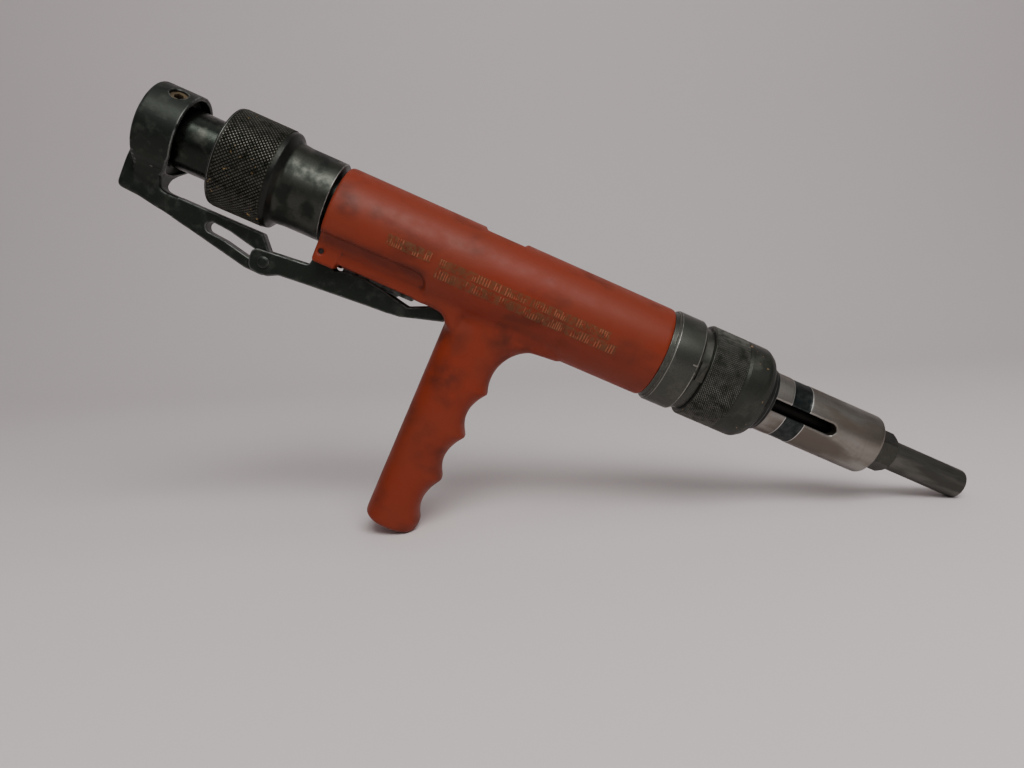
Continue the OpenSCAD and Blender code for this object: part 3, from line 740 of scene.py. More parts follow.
class Bench:
    """Finishes each piece: places it, shades it, gives it its finish and hangs it on its body."""

    def __init__(self) -> None:
        """Starts with no materials made."""
        self.made: dict[str, bpy.types.Material] = {}

    def finish(self, finish: Metal | Paint | Rubber, extra: Painter | None = None) -> bpy.types.Material:
        """Makes a finish once and returns it."""
        if finish.name not in self.made:
            self.made[finish.name] = finish.build(extra) if extra else finish.build()
        return self.made[finish.name]

    def place(self, bm: bmesh.types.BMesh, name: str, body: str, slot: str, material: bpy.types.Material,
              replaces: Sequence[str] = (), sharp: float = 38.0) -> bpy.types.Object:
        """Places one piece.

        Args:
            bm: its mesh in the tool's millimetres.
            name: its name.
            body: the body it rides on.
            slot: the record's slot for its finish; not used.
            material: its finish.
            replaces: the CAD nodes it stands for.
            sharp: edges turned by more than this many degrees stay sharp.

        Returns:
            The object.
        """
        bmesh.ops.transform(bm, matrix=TOOL.matrix, verts=bm.verts)
        bmesh.ops.recalc_face_normals(bm, faces=bm.faces)
        for f in bm.faces:
            f.smooth = True
        for e in bm.edges:
            e.smooth = len(e.link_faces) == 2 and e.calc_face_angle(0.0) < math.radians(sharp)
        faces = len(bm.faces)
        piece = bpy.data.objects.new(name, as_mesh(bm, name))
        bpy.context.scene.collection.objects.link(piece)
        piece.data.materials.append(material)
        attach(piece, body)
        if replaces:
            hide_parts(*replaces)
        log.info("%s: %d faces on %s", name, faces, body)
        return piece

    def repaint(self, nodes: Sequence[str], material: bpy.types.Material) -> None:
        """Gives CAD nodes that stay as they are a better finish."""
        for node in nodes:
            slots = frame["nodes"][node].data.materials
            if slots:
                slots[0] = material
            else:
                slots.append(material)
            log.info("%s: new finish", node)


# ---- Sub-assemblies ----


@dataclass
class Housing:
    """The cast housing: tube, trigger box, pivot lugs and pistol grip."""

    radius: float = 21.0
    bore: float = 16.87
    wall_r: float = 19.3
    box_half: float = 12.8
    lug_half: float = 13.6
    lug_length: float = 10.5
    lug_gap: float = 6.0
    pin_r: float = 1.3
    box_bottom: float = -20.2
    box_step_x: float = 45.7
    pocket: float = 4.5
    grip_back: float = 62.3
    grip_half: float = 13.2
    cusp_x: float = 93.4
    cusp_top: float = -47.1
    cusp_pitch: float = 22.5
    cusp_slope: float = 0.09
    groove_depths: tuple[float, ...] = (4.6, 4.3, 3.8)
    sweep_x: float = 110.4
    sweep_z: float = -40.2
    sweep_r: float = 19.0
    butt: float = -120.9
    butt_r: float = 2.6
    squareness: float = 2.7
    port: tuple[float, float] = (63.6, 82.5)
    port_floor: float = 19.5
    port_half: float = 3.5
    rows: tuple[tuple[float, float, float, float], ...] = (
        (-3.0, 1.2, 27.7, 46.7), (-3.0, 0.4, 51.3, 129.4), (-7.9, -4.1, 51.2, 134.2))
    stains: tuple[tuple[float, float, float, float], ...] = (
        (8.0, 5.0, 5.0, 0.6), (20.0, 7.0, 4.0, 0.4), (68.0, -30.0, 8.0, 0.4), (71.0, -47.0, 8.0, 0.6),
        (78.0, -55.0, 4.0, 0.4), (88.0, -20.0, 8.0, 0.55), (97.0, -20.0, 8.0, 0.35), (62.0, 11.0, 5.0, 0.4),
        (71.0, -75.0, 8.0, 0.3), (140.0, -4.0, 6.0, 0.3))

    def grip_front(self, z: float) -> float:
        """Where the front of the grip is at a height, through the sweep and the finger grooves."""
        first = self.cusp_top
        if z >= first:
            up = z - self.sweep_z
            if up >= self.sweep_r - 0.2:
                return self.sweep_x + 6.0
            return self.sweep_x - math.sqrt(self.sweep_r**2 - up**2)
        line = self.cusp_x + (z - first) * self.cusp_slope
        along = (first - z) / self.cusp_pitch
        index = int(along)
        if index >= len(self.groove_depths):
            return line
        across_groove = along - index
        dip = 1 - (2 * across_groove - 1) ** 2
        return line - self.groove_depths[index] * dip

    def grip(self) -> bmesh.types.BMesh:
        """The grip, lofted from its butt up into the tube."""
        bm = bmesh.new()
        bm.verts.layers.float.new("wear")
        levels = [-8.0, -14.0, *(-18.0 - 1.1 * i for i in range(93))]
        levels = [z for z in levels if z > self.butt + 3.0]
        rings = [(z, 0.0) for z in levels]
        rings += [(self.butt + self.butt_r * (1 - math.sin(a)), self.butt_r * (1 - math.cos(a)))
                  for a in (math.radians(15 * k) for k in range(1, 7))]
        count, power = 72, 2 / self.squareness
        loop = None
        for z, inset in rings:
            back = self.grip_back + inset * 0.55
            front = self.grip_front(z) - inset
            middle, half = (back + front) / 2, (front - back) / 2
            width = self.grip_half - inset * 0.9
            sag = 0.9 * (1 - ((z - self.butt) / 6.0)) if z < self.butt + 6.0 else 0.0
            verts = []
            for i in range(count):
                a = math.tau * i / count
                u = math.copysign(abs(math.cos(a)) ** power, math.cos(a))
                w = math.copysign(abs(math.sin(a)) ** power, math.sin(a))
                low = sag * u**2 * (1.4 if u < 0 else 0.8)
                verts.append(bm.verts.new((middle + half * u, width * w, z + max(low, 0.0))))
            if loop:
                for i in range(count):
                    bm.faces.new((loop[i], loop[(i + 1) % count], verts[(i + 1) % count], verts[i]))
            else:
                bm.faces.new(verts)
            loop = verts
        bm.faces.new(loop)
        bmesh.ops.recalc_face_normals(bm, faces=bm.faces)
        return bm

    def body(self) -> bmesh.types.BMesh:
        """The whole casting."""
        end = TOOL.span("front_ring")[0]
        tube = turned([(0.0, 0.0), (0.0, self.radius, 1.6), (end, self.radius, 1.0), (end, 0.0)],
                      closed=False, steps=160)
        box = prism([(0.4, -4), (0.4, self.box_bottom + 0.6, 0.5), (self.box_step_x, self.box_bottom, 0.1),
                     (self.box_step_x + 0.6, self.box_bottom - 0.5, 0.1),
                     (self.grip_back - self.pocket, self.box_bottom - 0.9),
                     *arc(self.grip_back - self.pocket, self.box_bottom - 0.9 - self.pocket, self.pocket,
                          90, 0)[1:],
                     (self.grip_back + 5, self.box_bottom - 7), (self.grip_back + 5, -4)],
                    -self.box_half - 0.3, self.box_half + 0.3, 0.9)
        lug = prism([(0.0, -6), (0.0, -22.3, 1.6), (self.lug_length, -22.3, 0.8), (self.lug_length, -6)],
                    -self.lug_half, self.lug_half, 0.6)
        side = [(-3, -8.8), (43.5, -8.8), *arc(43.5, -14.2, 5.4, 90, 0, 8)[1:], (48.9, -40), (-3, -40)]
        cuts = []
        for sign in (-1, 1):
            near, far = sorted((sign * self.box_half, sign * 40))
            cutter = prism(side, near, far)
            inner = [e for e in cutter.edges
                     if all(abs(v.co.y - sign * self.box_half) < 1e-4 and v.co.z > -14.5 for v in e.verts)]
            bmesh.ops.bevel(cutter, geom=inner, offset=2.0, segments=4, profile=0.5, affect="EDGES",
                            material=-1)
            cuts.append(cutter)
        # the lug stands proud of the box and the wall round the bore is whole: both are fused after the cut
        shell = cast([tube, box], cuts, 0.6, 2)
        wall = turned([(0.5, 0.0), (0.5, self.wall_r), (end - 0.5, self.wall_r), (end - 0.5, 0.0)],
                      closed=False)
        bore = turned([(-2, 0.0), (-2, self.bore), (end + 2, self.bore), (end + 2, 0.0)], closed=False)
        first, last = self.port
        flat = prism([(first, self.port_floor), (last, self.port_floor), (last, 30), (first, 30)], -25, 25)
        port = prism([(first + 1, 0), (last - 1, 0), (last - 1, 30), (first + 1, 30)],
                     -self.port_half, self.port_half)
        slot = prism([(-2, -11.4), (self.lug_length + 1, -11.4), (self.lug_length + 1, -30), (-2, -30)],
                     -self.lug_gap, self.lug_gap)
        pin = across(self.pin_r, TOOL.pivot.x, TOOL.pivot.z, -16, 16, 24)
        whole = cast([shell, wall, lug, self.grip()], [bore, flat, port, slot, pin], 0.62, 3)
        melt(whole, lambda p: 50 < p.x < 118 and -33 < p.z < -9 and abs(p.y) > 6, 60)
        true_up(whole, self.radius, 0.0, lambda p: 2.2 < p.x < end - 1.6 and (p.z > -6.5 or p.x > 112))
        true_up(whole, self.bore, 0.0, lambda p: 1.0 < p.x < end - 1.0, 0.2)
        return whole

    def marks(self) -> bmesh.types.BMesh:
        """Rows of short raised bars on the near side, in groups of uneven length."""
        pick = random.Random(5)
        bars = []
        for low, high, first, last in self.rows:
            x = first
            while x < last:
                for _ in range(pick.choice((3, 5, 7, 8, 9))):
                    if x > last:
                        break
                    tall = (high - low) * pick.choice((1.0, 1.0, 0.62))
                    bars.append((x, low, low + tall))
                    x += pick.choice((0.95, 1.25))
                x += 1.9
        whole = []
        for x, low, high in bars:
            bm = prism([(x, low, 0.15), (x + 0.5, low, 0.15), (x + 0.5, high, 0.15), (x, high, 0.15)],
                       -0.34, 0.6, 0.0, 2)
            for v in bm.verts:
                reach = self.radius - v.co.y
                v.co.y = -math.sqrt(max(reach**2 - v.co.z**2, 0.0))
            whole.append(bm)
        return joined(whole)

    def build(self, bench: Bench) -> None:
        """Makes the housing and its marks."""
        paint = bench.finish(Paint(rows=self.rows, stains=self.stains))
        bench.place(self.body(), "housing_casting", "frame", "orange_paint", paint, ["housing"], 60)
        bench.place(self.marks(), "raised_bars", "frame", "orange_paint", paint)


@dataclass
class Breech:
    """The knurled breech cap with its neck, and the striker sleeve that runs in it."""

    cap_r: float = 21.9
    neck_r: float = 17.9
    knurl_depth: float = 0.42
    cell: float = 1.7
    sleeve_r: float = 13.4
    spigot_r: float = 12.0
    groove_r: float = 11.2
    pin_hole_r: float = 5.1
    web_from_nose: float = 21.1
    hammer_r: float = 4.6
    pocket_r: float = 8.6
    pocket_depth: float = 33.3

    def build(self, bench: Bench) -> None:
        """Makes the cap, its knurling and the striker sleeve."""
        z = TOOL.breech_z
        rear, nose = TOOL.span("breech_cap")
        neck_end = -1.8
        shoulder = rear + 24.3
        core_r = self.cap_r - self.knurl_depth - 0.5
        bore = self.sleeve_r + 0.12
        core = turned([
            (rear, bore, 0.5), (rear, self.cap_r - 0.3, 0.35), (rear + 0.9, self.cap_r - 0.2, 0.3),
            (rear + 0.9, core_r), (shoulder - 0.6, core_r), (shoulder - 0.6, self.cap_r - 0.3),
            (shoulder + 1.2, self.cap_r - 0.4, 1.6), (shoulder + 3.6, self.neck_r + 0.5, 2.2),
            (shoulder + 8.0, self.neck_r, 2.6), (neck_end, self.neck_r, 0.5), (neck_end, self.spigot_r),
            (nose - 6.7, self.spigot_r), (nose - 6.7, self.groove_r), (nose - 4.9, self.groove_r),
            (nose - 4.9, self.spigot_r), (nose, self.spigot_r), (nose, self.pin_hole_r),
            (nose - self.web_from_nose, self.pin_hole_r), (nose - self.web_from_nose, bore)], z, rounding=5)
        steel = bench.finish(NECK, self.shade(shoulder))
        bench.place(core, "breech_cap_body", "breech", "knurled_black", steel, ["breech_cap"])
        ring = knurl(rear + 0.95, shoulder - 0.65, self.cap_r, z, self.cell, self.knurl_depth,
                     core_r + 0.05)
        bench.place(ring, "breech_cap_knurl", "breech", "knurled_black", bench.finish(KNURLED), sharp=20)
        first, last = TOOL.span("striker_sleeve")
        floor = last - self.pocket_depth
        sleeve = turned([(first, self.hammer_r), (first, self.sleeve_r, 0.5), (last, self.sleeve_r, 0.6),
                         (last, self.pocket_r, 0.3), (floor, self.pocket_r), (floor, self.hammer_r)], z)
        bench.place(sleeve, "striker_tube", "yoke", "blued_steel", bench.finish(BLUED), ["striker_sleeve"])

    def shade(self, shoulder: float) -> Painter:
        """Darkens the cap's knurled end, since only the neck has lost its black.

        Args:
            shoulder: the station where the knurled end stops.

        Returns:
            A painter for Metal.build.
        """

        def paint(g: Graph, colour: Value) -> Value:
            """Blackens everything behind the neck."""
            edge = g.attribute("wear") * 0.6
            dark = g.mix(edge, (0.024, 0.026, 0.023), (0.2, 0.2, 0.19))
            return g.mix(g.x.step(shoulder + 5.0, shoulder + 1.0), colour, dark)

        return paint


@dataclass
class Yoke:
    """The firing yoke: cap, foot, and the arm whose cam slot moves the lever."""

    cap_r: float = 18.95
    foot_half: float = 4.8
    arm_half: float = 3.8
    counterbore: float = 17.2
    swing: float = 10.0
    travel: float = 16.5
    slot_half: float = 2.3
    crown_r: float = 38.0
    rear: float = -88.8
    front: float = -67.1
    screw_x: float = -74.0
    screw_turn: float = 34.0
    hole_r: float = 3.68

    def rivet_at(self, share: float) -> Vector:
        """Where the rivet stands in the arm after a share of the yoke's travel."""
        a = math.radians(self.swing * share)
        dx, dz = RIVET[0] - TOOL.pivot.x, RIVET[1] - TOOL.pivot.z
        return Vector((TOOL.pivot.x + dx * math.cos(a) + dz * math.sin(a) - self.travel * share,
                       TOOL.pivot.z - dx * math.sin(a) + dz * math.cos(a)))

    def cam(self) -> bmesh.types.BMesh:
        """The solid that cuts the cam slot: a ramp that follows the rivet and a level part behind it."""
        ramp = [self.rivet_at(i / 6) for i in range(7)]
        level = ramp[-1] + Vector((-7.5, 0.7))
        path = [*ramp, level]
        upper, lower = [], []
        for i, here in enumerate(path):
            step = path[min(i + 1, len(path) - 1)] - path[max(i - 1, 0)]
            side = Vector((-step.y, step.x)).normalized() * self.slot_half
            upper.append(here + side)
            lower.append(here - side)
        ends = []
        for end, before in ((path[-1], path[-2]), (path[0], path[1])):
            turn = math.degrees(math.atan2(end.y - before.y, end.x - before.x))
            ends.append(arc(end.x, end.y, self.slot_half, turn + 90, turn - 90, 8))
        outline = [*map(tuple, upper[:-1]), *ends[0], *map(tuple, lower[-2:0:-1]), *ends[1]]
        return prism(outline, -9, 9)

    def build(self, bench: Bench) -> None:
        """Makes the yoke."""
        z, rear, front = TOOL.breech_z, self.rear, self.front
        crown = [(rear + self.crown_r * (1 - math.cos(a)), self.crown_r * math.sin(a), 0.0)
                 for a in (math.asin((self.cap_r - 0.2) / self.crown_r) * i / 8 for i in range(9))]
        rim = crown[-1][0]
        cap = turned([*crown, (rim + 0.6, self.cap_r, 0.3), (front, self.cap_r, 0.5), (front, 0.0)],
                     z, closed=False, steps=160)
        heel = rear + 0.1
        bend = math.radians(48)
        out, low = ((self.cap_r - 0.4) * turn(bend) for turn in (math.sin, math.cos))
        drop = [(0, z + 4), (out, z - low), (9.0, -13.4, 5), (self.foot_half, -19.0, 4),
                (self.foot_half - 0.2, -26), (0.2 - self.foot_half, -26), (-self.foot_half, -19.0, 4),
                (-9.0, -13.4, 5), (-out, z - low)]
        foot = bar(drop, rim + 0.3, front - 0.2, 0.5)
        leg = prism([(rear + 1.0, z - 8), (heel, -13.5, 4), (heel, -26.3, 2.4), (heel + 9.4, -26.8, 6),
                     (-69.0, -28.8), (-69.0, z - 8)], -self.foot_half, self.foot_half, 0.9)
        arm = prism([(heel + 3, -12), (heel + 3.0, -26.5, 1), (heel + 9.4, -26.9, 6), (-54.6, -31.6, 8),
                     (-27.2, -37.6, 4), (-19.0, -37.9, 3), (-15.3, -35.2, 3), (-15.6, -31.6, 1),
                     (-24.8, -20.7, 1.2), (-72, -20.6), (-72, -12)],
                    -self.arm_half, self.arm_half, 0.7, 6)
        below = prism([(-100, -26.4), (heel + 9.4, -26.9), (-60, -30.4), (-60, -50), (-100, -50)], -12, 12)
        bite = prism([(front + 4, 0.5), (front + 0.05, 0.5), (front - 0.1, -6, 3), (front - 1.6, -10.5, 4),
                      (front - 4.5, -14.8, 4), (front - 4.4, -20.58, 3.2), (front + 4, -20.58)],
                     -22, 22, 0.0, 6)
        cup = turned([(front - 5, 0.0), (front - 5, self.counterbore, 0.6), (front + 3, self.counterbore),
                      (front + 3, 0.0)], z, closed=False)
        socket = turned([(front - 15, 0.0), (front - 15, 13.45), (front + 1, 13.45), (front + 1, 0.0)], z,
                        closed=False)
        hole = bmesh.new()
        tilt = (Matrix.Translation((self.screw_x, 0, z))
                @ Matrix.Rotation(math.radians(self.screw_turn), 4, "X") @ Matrix.Translation((0, 0, 19)))
        bmesh.ops.create_cone(hole, cap_ends=True, segments=40, radius1=self.hole_r, radius2=self.hole_r,
                              depth=10, matrix=tilt)
        whole = cast([cap, foot, leg, arm], [below, bite, cup, socket, self.cam(), hole], 0.36, 4)
        melt(whole, lambda p: (p.x < front - 7 and -22 < p.z < -6) or (p.x < -63 and p.z < -15), 40)
        true_up(whole, self.cap_r, z, lambda p: p.x > rim + 1 and p.z > -2)
        black = bench.finish(BLACKENED)
        bench.place(whole, "yoke_forging", "yoke", "black_phosphate", black, ["firing_yoke"], 60)


@dataclass
class Lever:
    """The folded trigger lever, its rivet, and the spring plate above it."""

    gap: float = 4.2
    sheet: float = 1.5
    head_r: float = 2.6
    shank_r: float = 1.6
    pin_hole_r: float = 1.35

    def build(self, bench: Bench) -> None:
        """Makes the lever and its rivet."""
        px, pz = TOOL.pivot.x, TOOL.pivot.z
        out = self.gap + self.sheet
        outline = [(-24.4, -27.3, 1.2), (-26.2, -28.9, 1.2), (-26.4, -31.5, 1), (-25.6, -35.2, 1.2),
                   (-24.0, -37.0, 1.0), (-20, -37.6, 2), (-16.2, -37.0, 2), (-11.9, -34.8, 2),
                   (1.5, -33.7, 2), (30.8, -31.7, 2), (35.5, -31.5, 1), (43, -30.7, 3), (47.2, -29.4, 3),
                   (62.1, -25.0, 0.5),
                   (61.4, -22.4, 1.8), (58.6, -20.9, 1.8), (53.8, -20.8, 0.6), (52.6, -21.9, 1),
                   (44.8, -25.4, 2), (38.8, -24.2, 2), (31.9, -22.4, 3), (22, -21.2, 3), (13.5, -21.6, 2),
                   (9.2, -23.6, 2), (px + 3.1, pz - 1, 2.2), (px + 2.0, pz + 3.0, 2.0),
                   (px - 2.0, pz + 3.0, 2.0), (px - 3.2, pz - 1, 2), (-1.4, -25.2, 2)]
        shell = prism(outline, -out, out, 0.45)
        hollow = prism([(-40, -50), (8, -50), (9, -32.8, 1), (30.8, -30.2), (43, -29.2, 2), (47, -27.9, 2),
                        (59.2, -23.0, 1), (59.2, -5), (-40, -5)], -self.gap, self.gap)
        pin = across(self.pin_hole_r, px, pz, -9, 9, 24)
        whole = cast([shell], [hollow, pin], 0.34, 3)
        black = bench.finish(BLACKENED)
        bench.place(whole, "lever_channel", "lever", "black_phosphate", black, ["trigger_lever"], 60)
        heads = []
        for sign in (-1, 1):
            dome = turned([(0, 0.0), (0, self.head_r, 0.25), (0.55, self.head_r - 0.1, 0.3), (0.95, 1.5, 0.8),
                           (1.0, 0.0)], closed=False, steps=40)
            spot = Matrix.Translation((RIVET[0], sign * out, RIVET[1]))
            bmesh.ops.transform(dome, matrix=spot @ Matrix.Rotation(sign * math.pi / 2, 4, "Z"),
                                verts=dome.verts)
            heads.append(dome)
        heads.append(across(self.shank_r, *RIVET, -out, out))
        bench.place(joined(heads), "rivet_domes", "lever", "black_phosphate", black, ["lever_rivet"])
        lo, hi = TOOL.span("spring_plate")
        plate = prism([(lo, -20.2), (hi, -20.2, 0.9), (hi, -22.5, 0.9), (lo, -22.5, 0.5)], -3.6, 3.6, 0.4)
        bench.place(plate, "spring_bar", "frame", "black_phosphate", black, ["spring_plate"])


@dataclass
class Front:
    """The front ring, lock key, knurled collar and stepped bush."""

    ring_r: float = 21.65
    collar_r: float = 21.78
    knurl_depth: float = 0.34
    cell: float = 1.2
    knurl_length: float = 16.9
    mouth_r: float = 16.3
    bush_r: float = 14.95
    ring_bore: float = 16.86
    ring_spigot_r: float = 18.4
    collar_bore: float = 18.55
    bush_bore: float = 14.32
    bush_flange_r: float = 16.8
    bush_shank_r: float = 15.8

    def build(self, bench: Bench) -> None:
        """Makes the pieces in front of the housing."""
        back, tip = TOOL.span("front_ring")
        collar, collar_end = TOOL.span("knurled_collar")
        groove = collar - 4.0
        rim = self.ring_r
        ring = turned([
            (back, self.ring_bore), (back, rim - 1.3, 0.1), (back + 2.0, rim - 1.3, 0.1),
            (back + 2.0, rim - 0.5, 0.3), (back + 2.9, rim, 0.5), (groove - 1.2, rim, 0.8),
            (groove, rim - 0.8, 0.4), (groove, rim - 2.1, 0.3), (collar - 0.1, rim - 2.1),
            (collar - 0.1, self.ring_spigot_r), (tip, self.ring_spigot_r), (tip, self.ring_bore)],
            steps=160, rounding=5)
        bench.place(ring, "ring_body", "frame", "dark_ring", bench.finish(RING), ["front_ring"])
        mark = prism([(groove - 3.3, 1.7, 0.2), (groove - 0.9, 1.7, 0.2), (groove - 0.9, 2.3, 0.2),
                      (groove - 3.3, 2.3, 0.2)], -24, -21.25)
        for v in mark.verts:
            v.co.y = -math.sqrt((self.ring_r + (0.06 if v.co.y < -22 else -0.4)) ** 2 - v.co.z**2)
        bench.place(mark, "index_mark", "frame", "dark_ring", bench.finish(BARREL, paint_band))
        key = prism([(groove + 0.25, -3.9, 0.3), (collar - 0.25, -3.9, 0.3), (collar - 0.25, 4.9, 0.3),
                     (groove + 0.25, 4.9, 0.3)], -21.0, -18.6, 0.0)
        rims = [e for e in key.edges if all(v.co.y < -20.9 for v in e.verts)]
        bmesh.ops.bevel(key, geom=rims, offset=0.3, segments=2, profile=0.5, affect="EDGES", material=-1)
        bench.place(key, "key_block", "key", "dark_ring", bench.finish(NUT), ["lock_key"])
        split = collar + self.knurl_length
        core_r = self.collar_r - self.knurl_depth - 0.4
        body = turned([
            (collar, self.collar_bore), (collar, self.collar_r - 0.9, 0.4),
            (collar + 0.5, self.collar_r - 0.1, 0.25), (collar + 0.5, core_r), (split, core_r),
            (split, self.collar_r - 0.2),
            (split + 1.5, self.collar_r, 2.0), (collar_end - 4.0, self.collar_r, 4.0),
            (collar_end - 1.0, 19.9, 2.4), (collar_end, 18.6, 0.7), (collar_end, self.mouth_r, 0.4),
            (collar_end - 3.4, self.mouth_r), (collar_end - 3.4, self.collar_bore)], steps=160, rounding=6)
        collar_steel = bench.finish(COLLAR)
        bench.place(body, "collar_body", "collar", "knurled_black", collar_steel, ["knurled_collar"])
        band = knurl(collar + 0.5, split, self.collar_r, 0.0, self.cell, self.knurl_depth, core_r + 0.05)
        bench.place(band, "collar_knurl", "collar", "knurled_black", collar_steel, sharp=20)
        lo, hi = TOOL.span("wiper_bush")
        bush = turned([(lo, self.bush_bore), (lo, self.bush_flange_r), (lo + 3.8, self.bush_flange_r),
                       (lo + 3.8, self.bush_shank_r, 0.3), (hi - 1.6, self.bush_shank_r, 0.5),
                       (hi - 1.6, self.bush_r, 0.3), (hi, self.bush_r, 0.5), (hi, self.bush_bore, 0.2)])
        bench.place(bush, "bush_body", "frame", "rubber", bench.finish(BUSH), ["wiper_bush"])


@dataclass
class Barrel:
    """The barrel sleeve with its guide slot, the lock nut and the guide tube."""

    radius: float = 14.24
    slot_half: float = 2.7
    piston_bore: float = 8.1
    seat_depth: float = 10.4
    seat_gap: float = 0.06
    tube_r: float = 7.03
    bore_r: float = 4.05
    across_flats: float = 17.0

    def build(self, bench: Bench) -> None:
        """Makes the pieces of the barrel."""
        rear, front = TOOL.span("barrel_sleeve")
        steel = bench.finish(BARREL, paint_band)
        low, high = BAND
        sleeve = turned([
            (rear, self.piston_bore), (rear, self.radius, 0.5), (low, self.radius, 0.2),
            (low + 0.1, self.radius - 0.22, 0.1), (high - 0.1, self.radius - 0.22, 0.1),
            (high, self.radius, 0.2), (front, self.radius, 1.9), (front, self.tube_r + self.seat_gap, 0.3),
            (front - self.seat_depth, self.tube_r + self.seat_gap),
            (front - self.seat_depth, self.piston_bore)], steps=160, rounding=6)
        slot_end = front - 23.5 - self.slot_half
        slot_start = rear + 68.0
        slot = prism([*arc(slot_end, 0, self.slot_half, -90, 90, 16),
                      *arc(slot_start, 0, self.slot_half, 90, 270, 16)], -20, -5)
        whole = cast([sleeve], [slot], 0.52, 3)
        true_up(whole, self.radius, 0.0, lambda p: rear + 1 < p.x < front - 2.4
                and not low - 0.7 < p.x < high + 0.7 and (p.y > -6 or abs(p.z) > self.slot_half + 0.8))
        bench.place(whole, "barrel_body", "barrel", "barrel_steel", steel, ["barrel_sleeve"], 60)
        first, last = TOOL.span("muzzle_nut")
        nut = self.nut(first, last)
        bench.place(nut, "nut_body", "barrel", "dark_steel", bench.finish(NUT), ["muzzle_nut"])
        first, last = TOOL.span("muzzle_tube")
        tube = turned([(first, self.bore_r), (first, self.tube_r), (last, self.tube_r, 2.4),
                       (last, self.bore_r, 0.4)], rounding=8)
        bench.place(tube, "guide_tube", "barrel", "dark_steel", bench.finish(TUBE), ["muzzle_tube"])

    def nut(self, first: float, last: float) -> bmesh.types.BMesh:
        """The hexagonal nut, chamfered at its front corners."""
        corner = self.across_flats / 2 / math.cos(math.pi / 6)
        hexagon = bar([(corner * math.cos(a), corner * math.sin(a), 0.3)
                       for a in (math.radians(60 * i + 90) for i in range(6))], first, last)
        shape = turned([(first - 1, 0.0), (first - 1, corner + 2), (last - 1.5, corner + 2),
                        (last - 1.5, corner + 0.1), (last, corner - 1.6), (last, 0.0)],
                       closed=False, steps=96)
        hole = turned([(first - 2, 0.0), (first - 2, self.tube_r + 0.03), (last + 2, self.tube_r + 0.03),
                       (last + 2, 0.0)], closed=False)
        objects = as_solids([hexagon, shape, hole])
        for other, operation in zip(objects[1:], ("INTERSECT", "DIFFERENCE")):
            carve(objects[0], other, operation, "EXACT")
        rim = objects[0].modifiers.new("rim", "BEVEL")
        rim.width = 0.22
        rim.segments = 2
        rim.limit_method = "ANGLE"
        rim.angle_limit = math.radians(25)
        return settled(objects)


@dataclass
class Insides:
    """The pieces inside, which keep their CAD shape."""

    machined: tuple[str, ...] = (
        "receiver_tube", "breech_block", "hammer_rod", "firing_pin", "breech_retaining_ring")
    sooted: tuple[str, ...] = (
        "piston", "guide_pin", "lever_pivot_pin", "rear_piston_ring", "front_piston_ring")
    springs: tuple[str, ...] = ("main_spring", "firing_pin_spring", "lever_spring", "lock_key_spring")

    def build(self, bench: Bench) -> None:
        """Gives them their finishes."""
        bench.repaint(self.machined, bench.finish(MACHINED))
        bench.repaint(self.sooted, bench.finish(SOOTED))
        bench.repaint(self.springs, bench.finish(SPRING))
        bench.repaint(["buffer_ring"], bench.finish(Rubber()))
        bench.repaint(["yoke_set_screw"], bench.finish(SCREW))


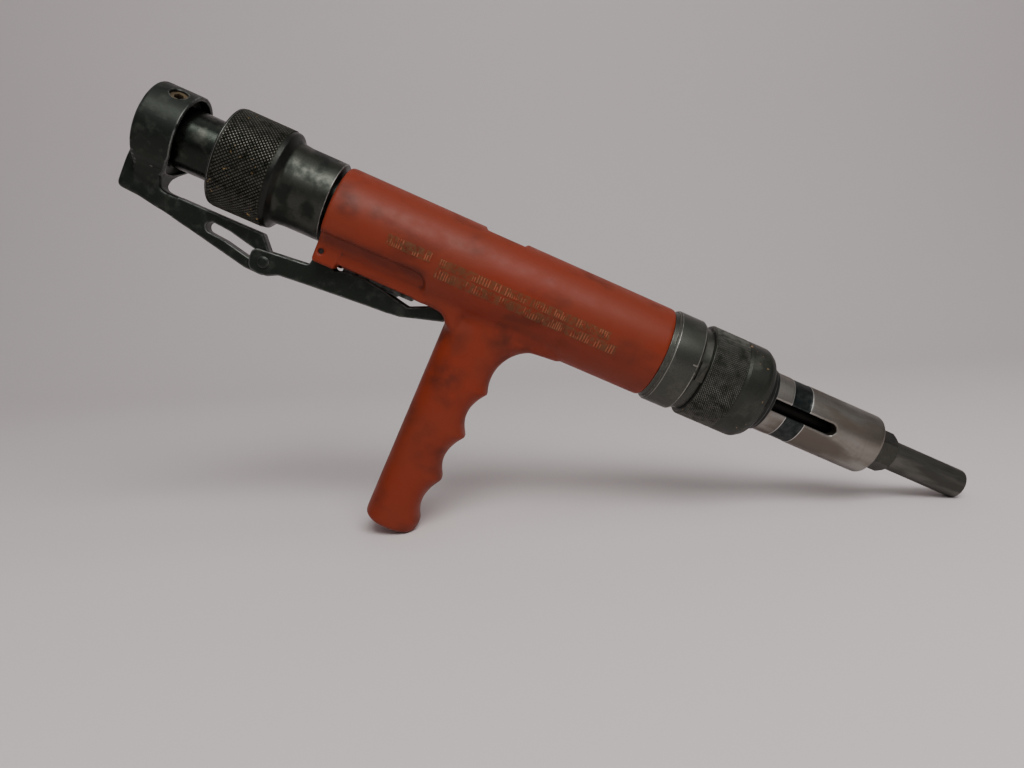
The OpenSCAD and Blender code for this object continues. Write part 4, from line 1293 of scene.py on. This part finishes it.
@dataclass
class Studio:
    """The pale floor and backdrop, the lights and the camera."""

    camera_at: tuple[float, float, float] = (68.5, -340.9, 5.6)
    camera_right: tuple[float, float, float] = (0.9164, -0.0359, 0.3986)
    camera_ahead: tuple[float, float, float] = (0.0951, 0.9870, -0.1298)
    lens: float = 26.54
    floor_colour: Tint = (0.75, 0.70, 0.70)
    sweep_radius: float = 0.35
    wall_y: float = 0.42
    key_power: float = 8.6
    fill_power: float = 1.0
    wall_power: float = 4.0
    world: Tint = (0.30, 0.29, 0.295)
    world_strength: float = 0.55

    def backdrop(self) -> None:
        """A seamless sheet that runs flat under the tool and curves up behind it."""
        bm = bmesh.new()
        profile = [(-3.0, 0.0), (self.wall_y, 0.0)]
        profile += [(self.wall_y + self.sweep_radius * math.sin(a), self.sweep_radius * (1 - math.cos(a)))
                    for a in (math.radians(7.5 * k) for k in range(1, 13))]
        profile.append((self.wall_y + self.sweep_radius, 3.0))
        verts = [bm.verts.new((-4.0, y, z)) for y, z in profile]
        edges = [bm.edges.new(pair) for pair in zip(verts, verts[1:])]
        out = bmesh.ops.extrude_edge_only(bm, edges=edges)
        far = [g for g in out["geom"] if isinstance(g, bmesh.types.BMVert)]
        bmesh.ops.translate(bm, verts=far, vec=(8, 0, 0))
        for f in bm.faces:
            f.smooth = True
        sheet = bpy.data.objects.new("backdrop", as_mesh(bm, "backdrop"))
        bpy.context.scene.collection.objects.link(sheet)
        paper = bpy.data.materials.new("paper")
        paper.use_nodes = True
        shader = paper.node_tree.nodes["Principled BSDF"]
        shader.inputs["Base Color"].default_value = (*self.floor_colour, 1)
        shader.inputs["Roughness"].default_value = 0.85
        sheet.data.materials.append(paper)

    def lamp(self, name: str, at: Vector, target: Vector, size: tuple[float, float], power: float) -> None:
        """A soft rectangular light."""
        light = bpy.data.lights.new(name, "AREA")
        light.shape = "RECTANGLE"
        light.size, light.size_y = size
        light.energy = power
        light.color = (1.0, 0.975, 0.96)
        lamp = bpy.data.objects.new(name, light)
        lamp.location = at
        lamp.rotation_euler = (target - at).to_track_quat("-Z", "Y").to_euler()
        bpy.context.scene.collection.objects.link(lamp)

    def camera(self) -> None:
        """The camera, placed in the tool's frame and turned with it."""
        right = Vector(self.camera_right).normalized()
        ahead = Vector(self.camera_ahead).normalized()
        up = right.cross(ahead)
        pose = Matrix((right, up, -ahead)).transposed()
        lens = bpy.data.cameras.new("camera")
        lens.lens = self.lens
        lens.sensor_width = 36.0
        lens.clip_start = 0.01
        made = bpy.data.objects.new("camera", lens)
        place = Matrix.Translation(TOOL.matrix @ Vector(self.camera_at))
        made.matrix_world = place @ (TOOL.turn @ pose).to_4x4()
        bpy.context.scene.collection.objects.link(made)
        bpy.context.scene.camera = made

    def build(self) -> None:
        """Makes the studio."""
        self.backdrop()
        self.camera()
        middle = Vector((0, 0, 0.1))
        self.lamp("top_light", Vector((0.15, -0.6, 0.85)), middle, (0.8, 0.5), self.key_power)
        self.lamp("front_light", Vector((-0.3, -1.3, 0.75)), middle, (0.9, 0.9), self.fill_power)
        self.lamp("wall_light", Vector((0.5, -0.1, 1.9)), Vector((0.5, 0.8, 0.7)), (2.6, 0.8),
                  self.wall_power)
        world = bpy.data.worlds.new("studio")
        world.use_nodes = True
        sky = world.node_tree.nodes["Background"].inputs
        sky["Color"].default_value = (*self.world, 1)
        sky["Strength"].default_value = self.world_strength
        bpy.context.scene.world = world


def main() -> None:
    """Builds the studio and every sub-assembly."""
    logging.basicConfig(level=logging.INFO, format="%(name)s: %(message)s")
    Studio().build()
    bench = Bench()
    for part in (Housing(), Breech(), Yoke(), Lever(), Front(), Barrel(), Insides()):
        part.build(bench)


if __name__ == "__main__":
    main()
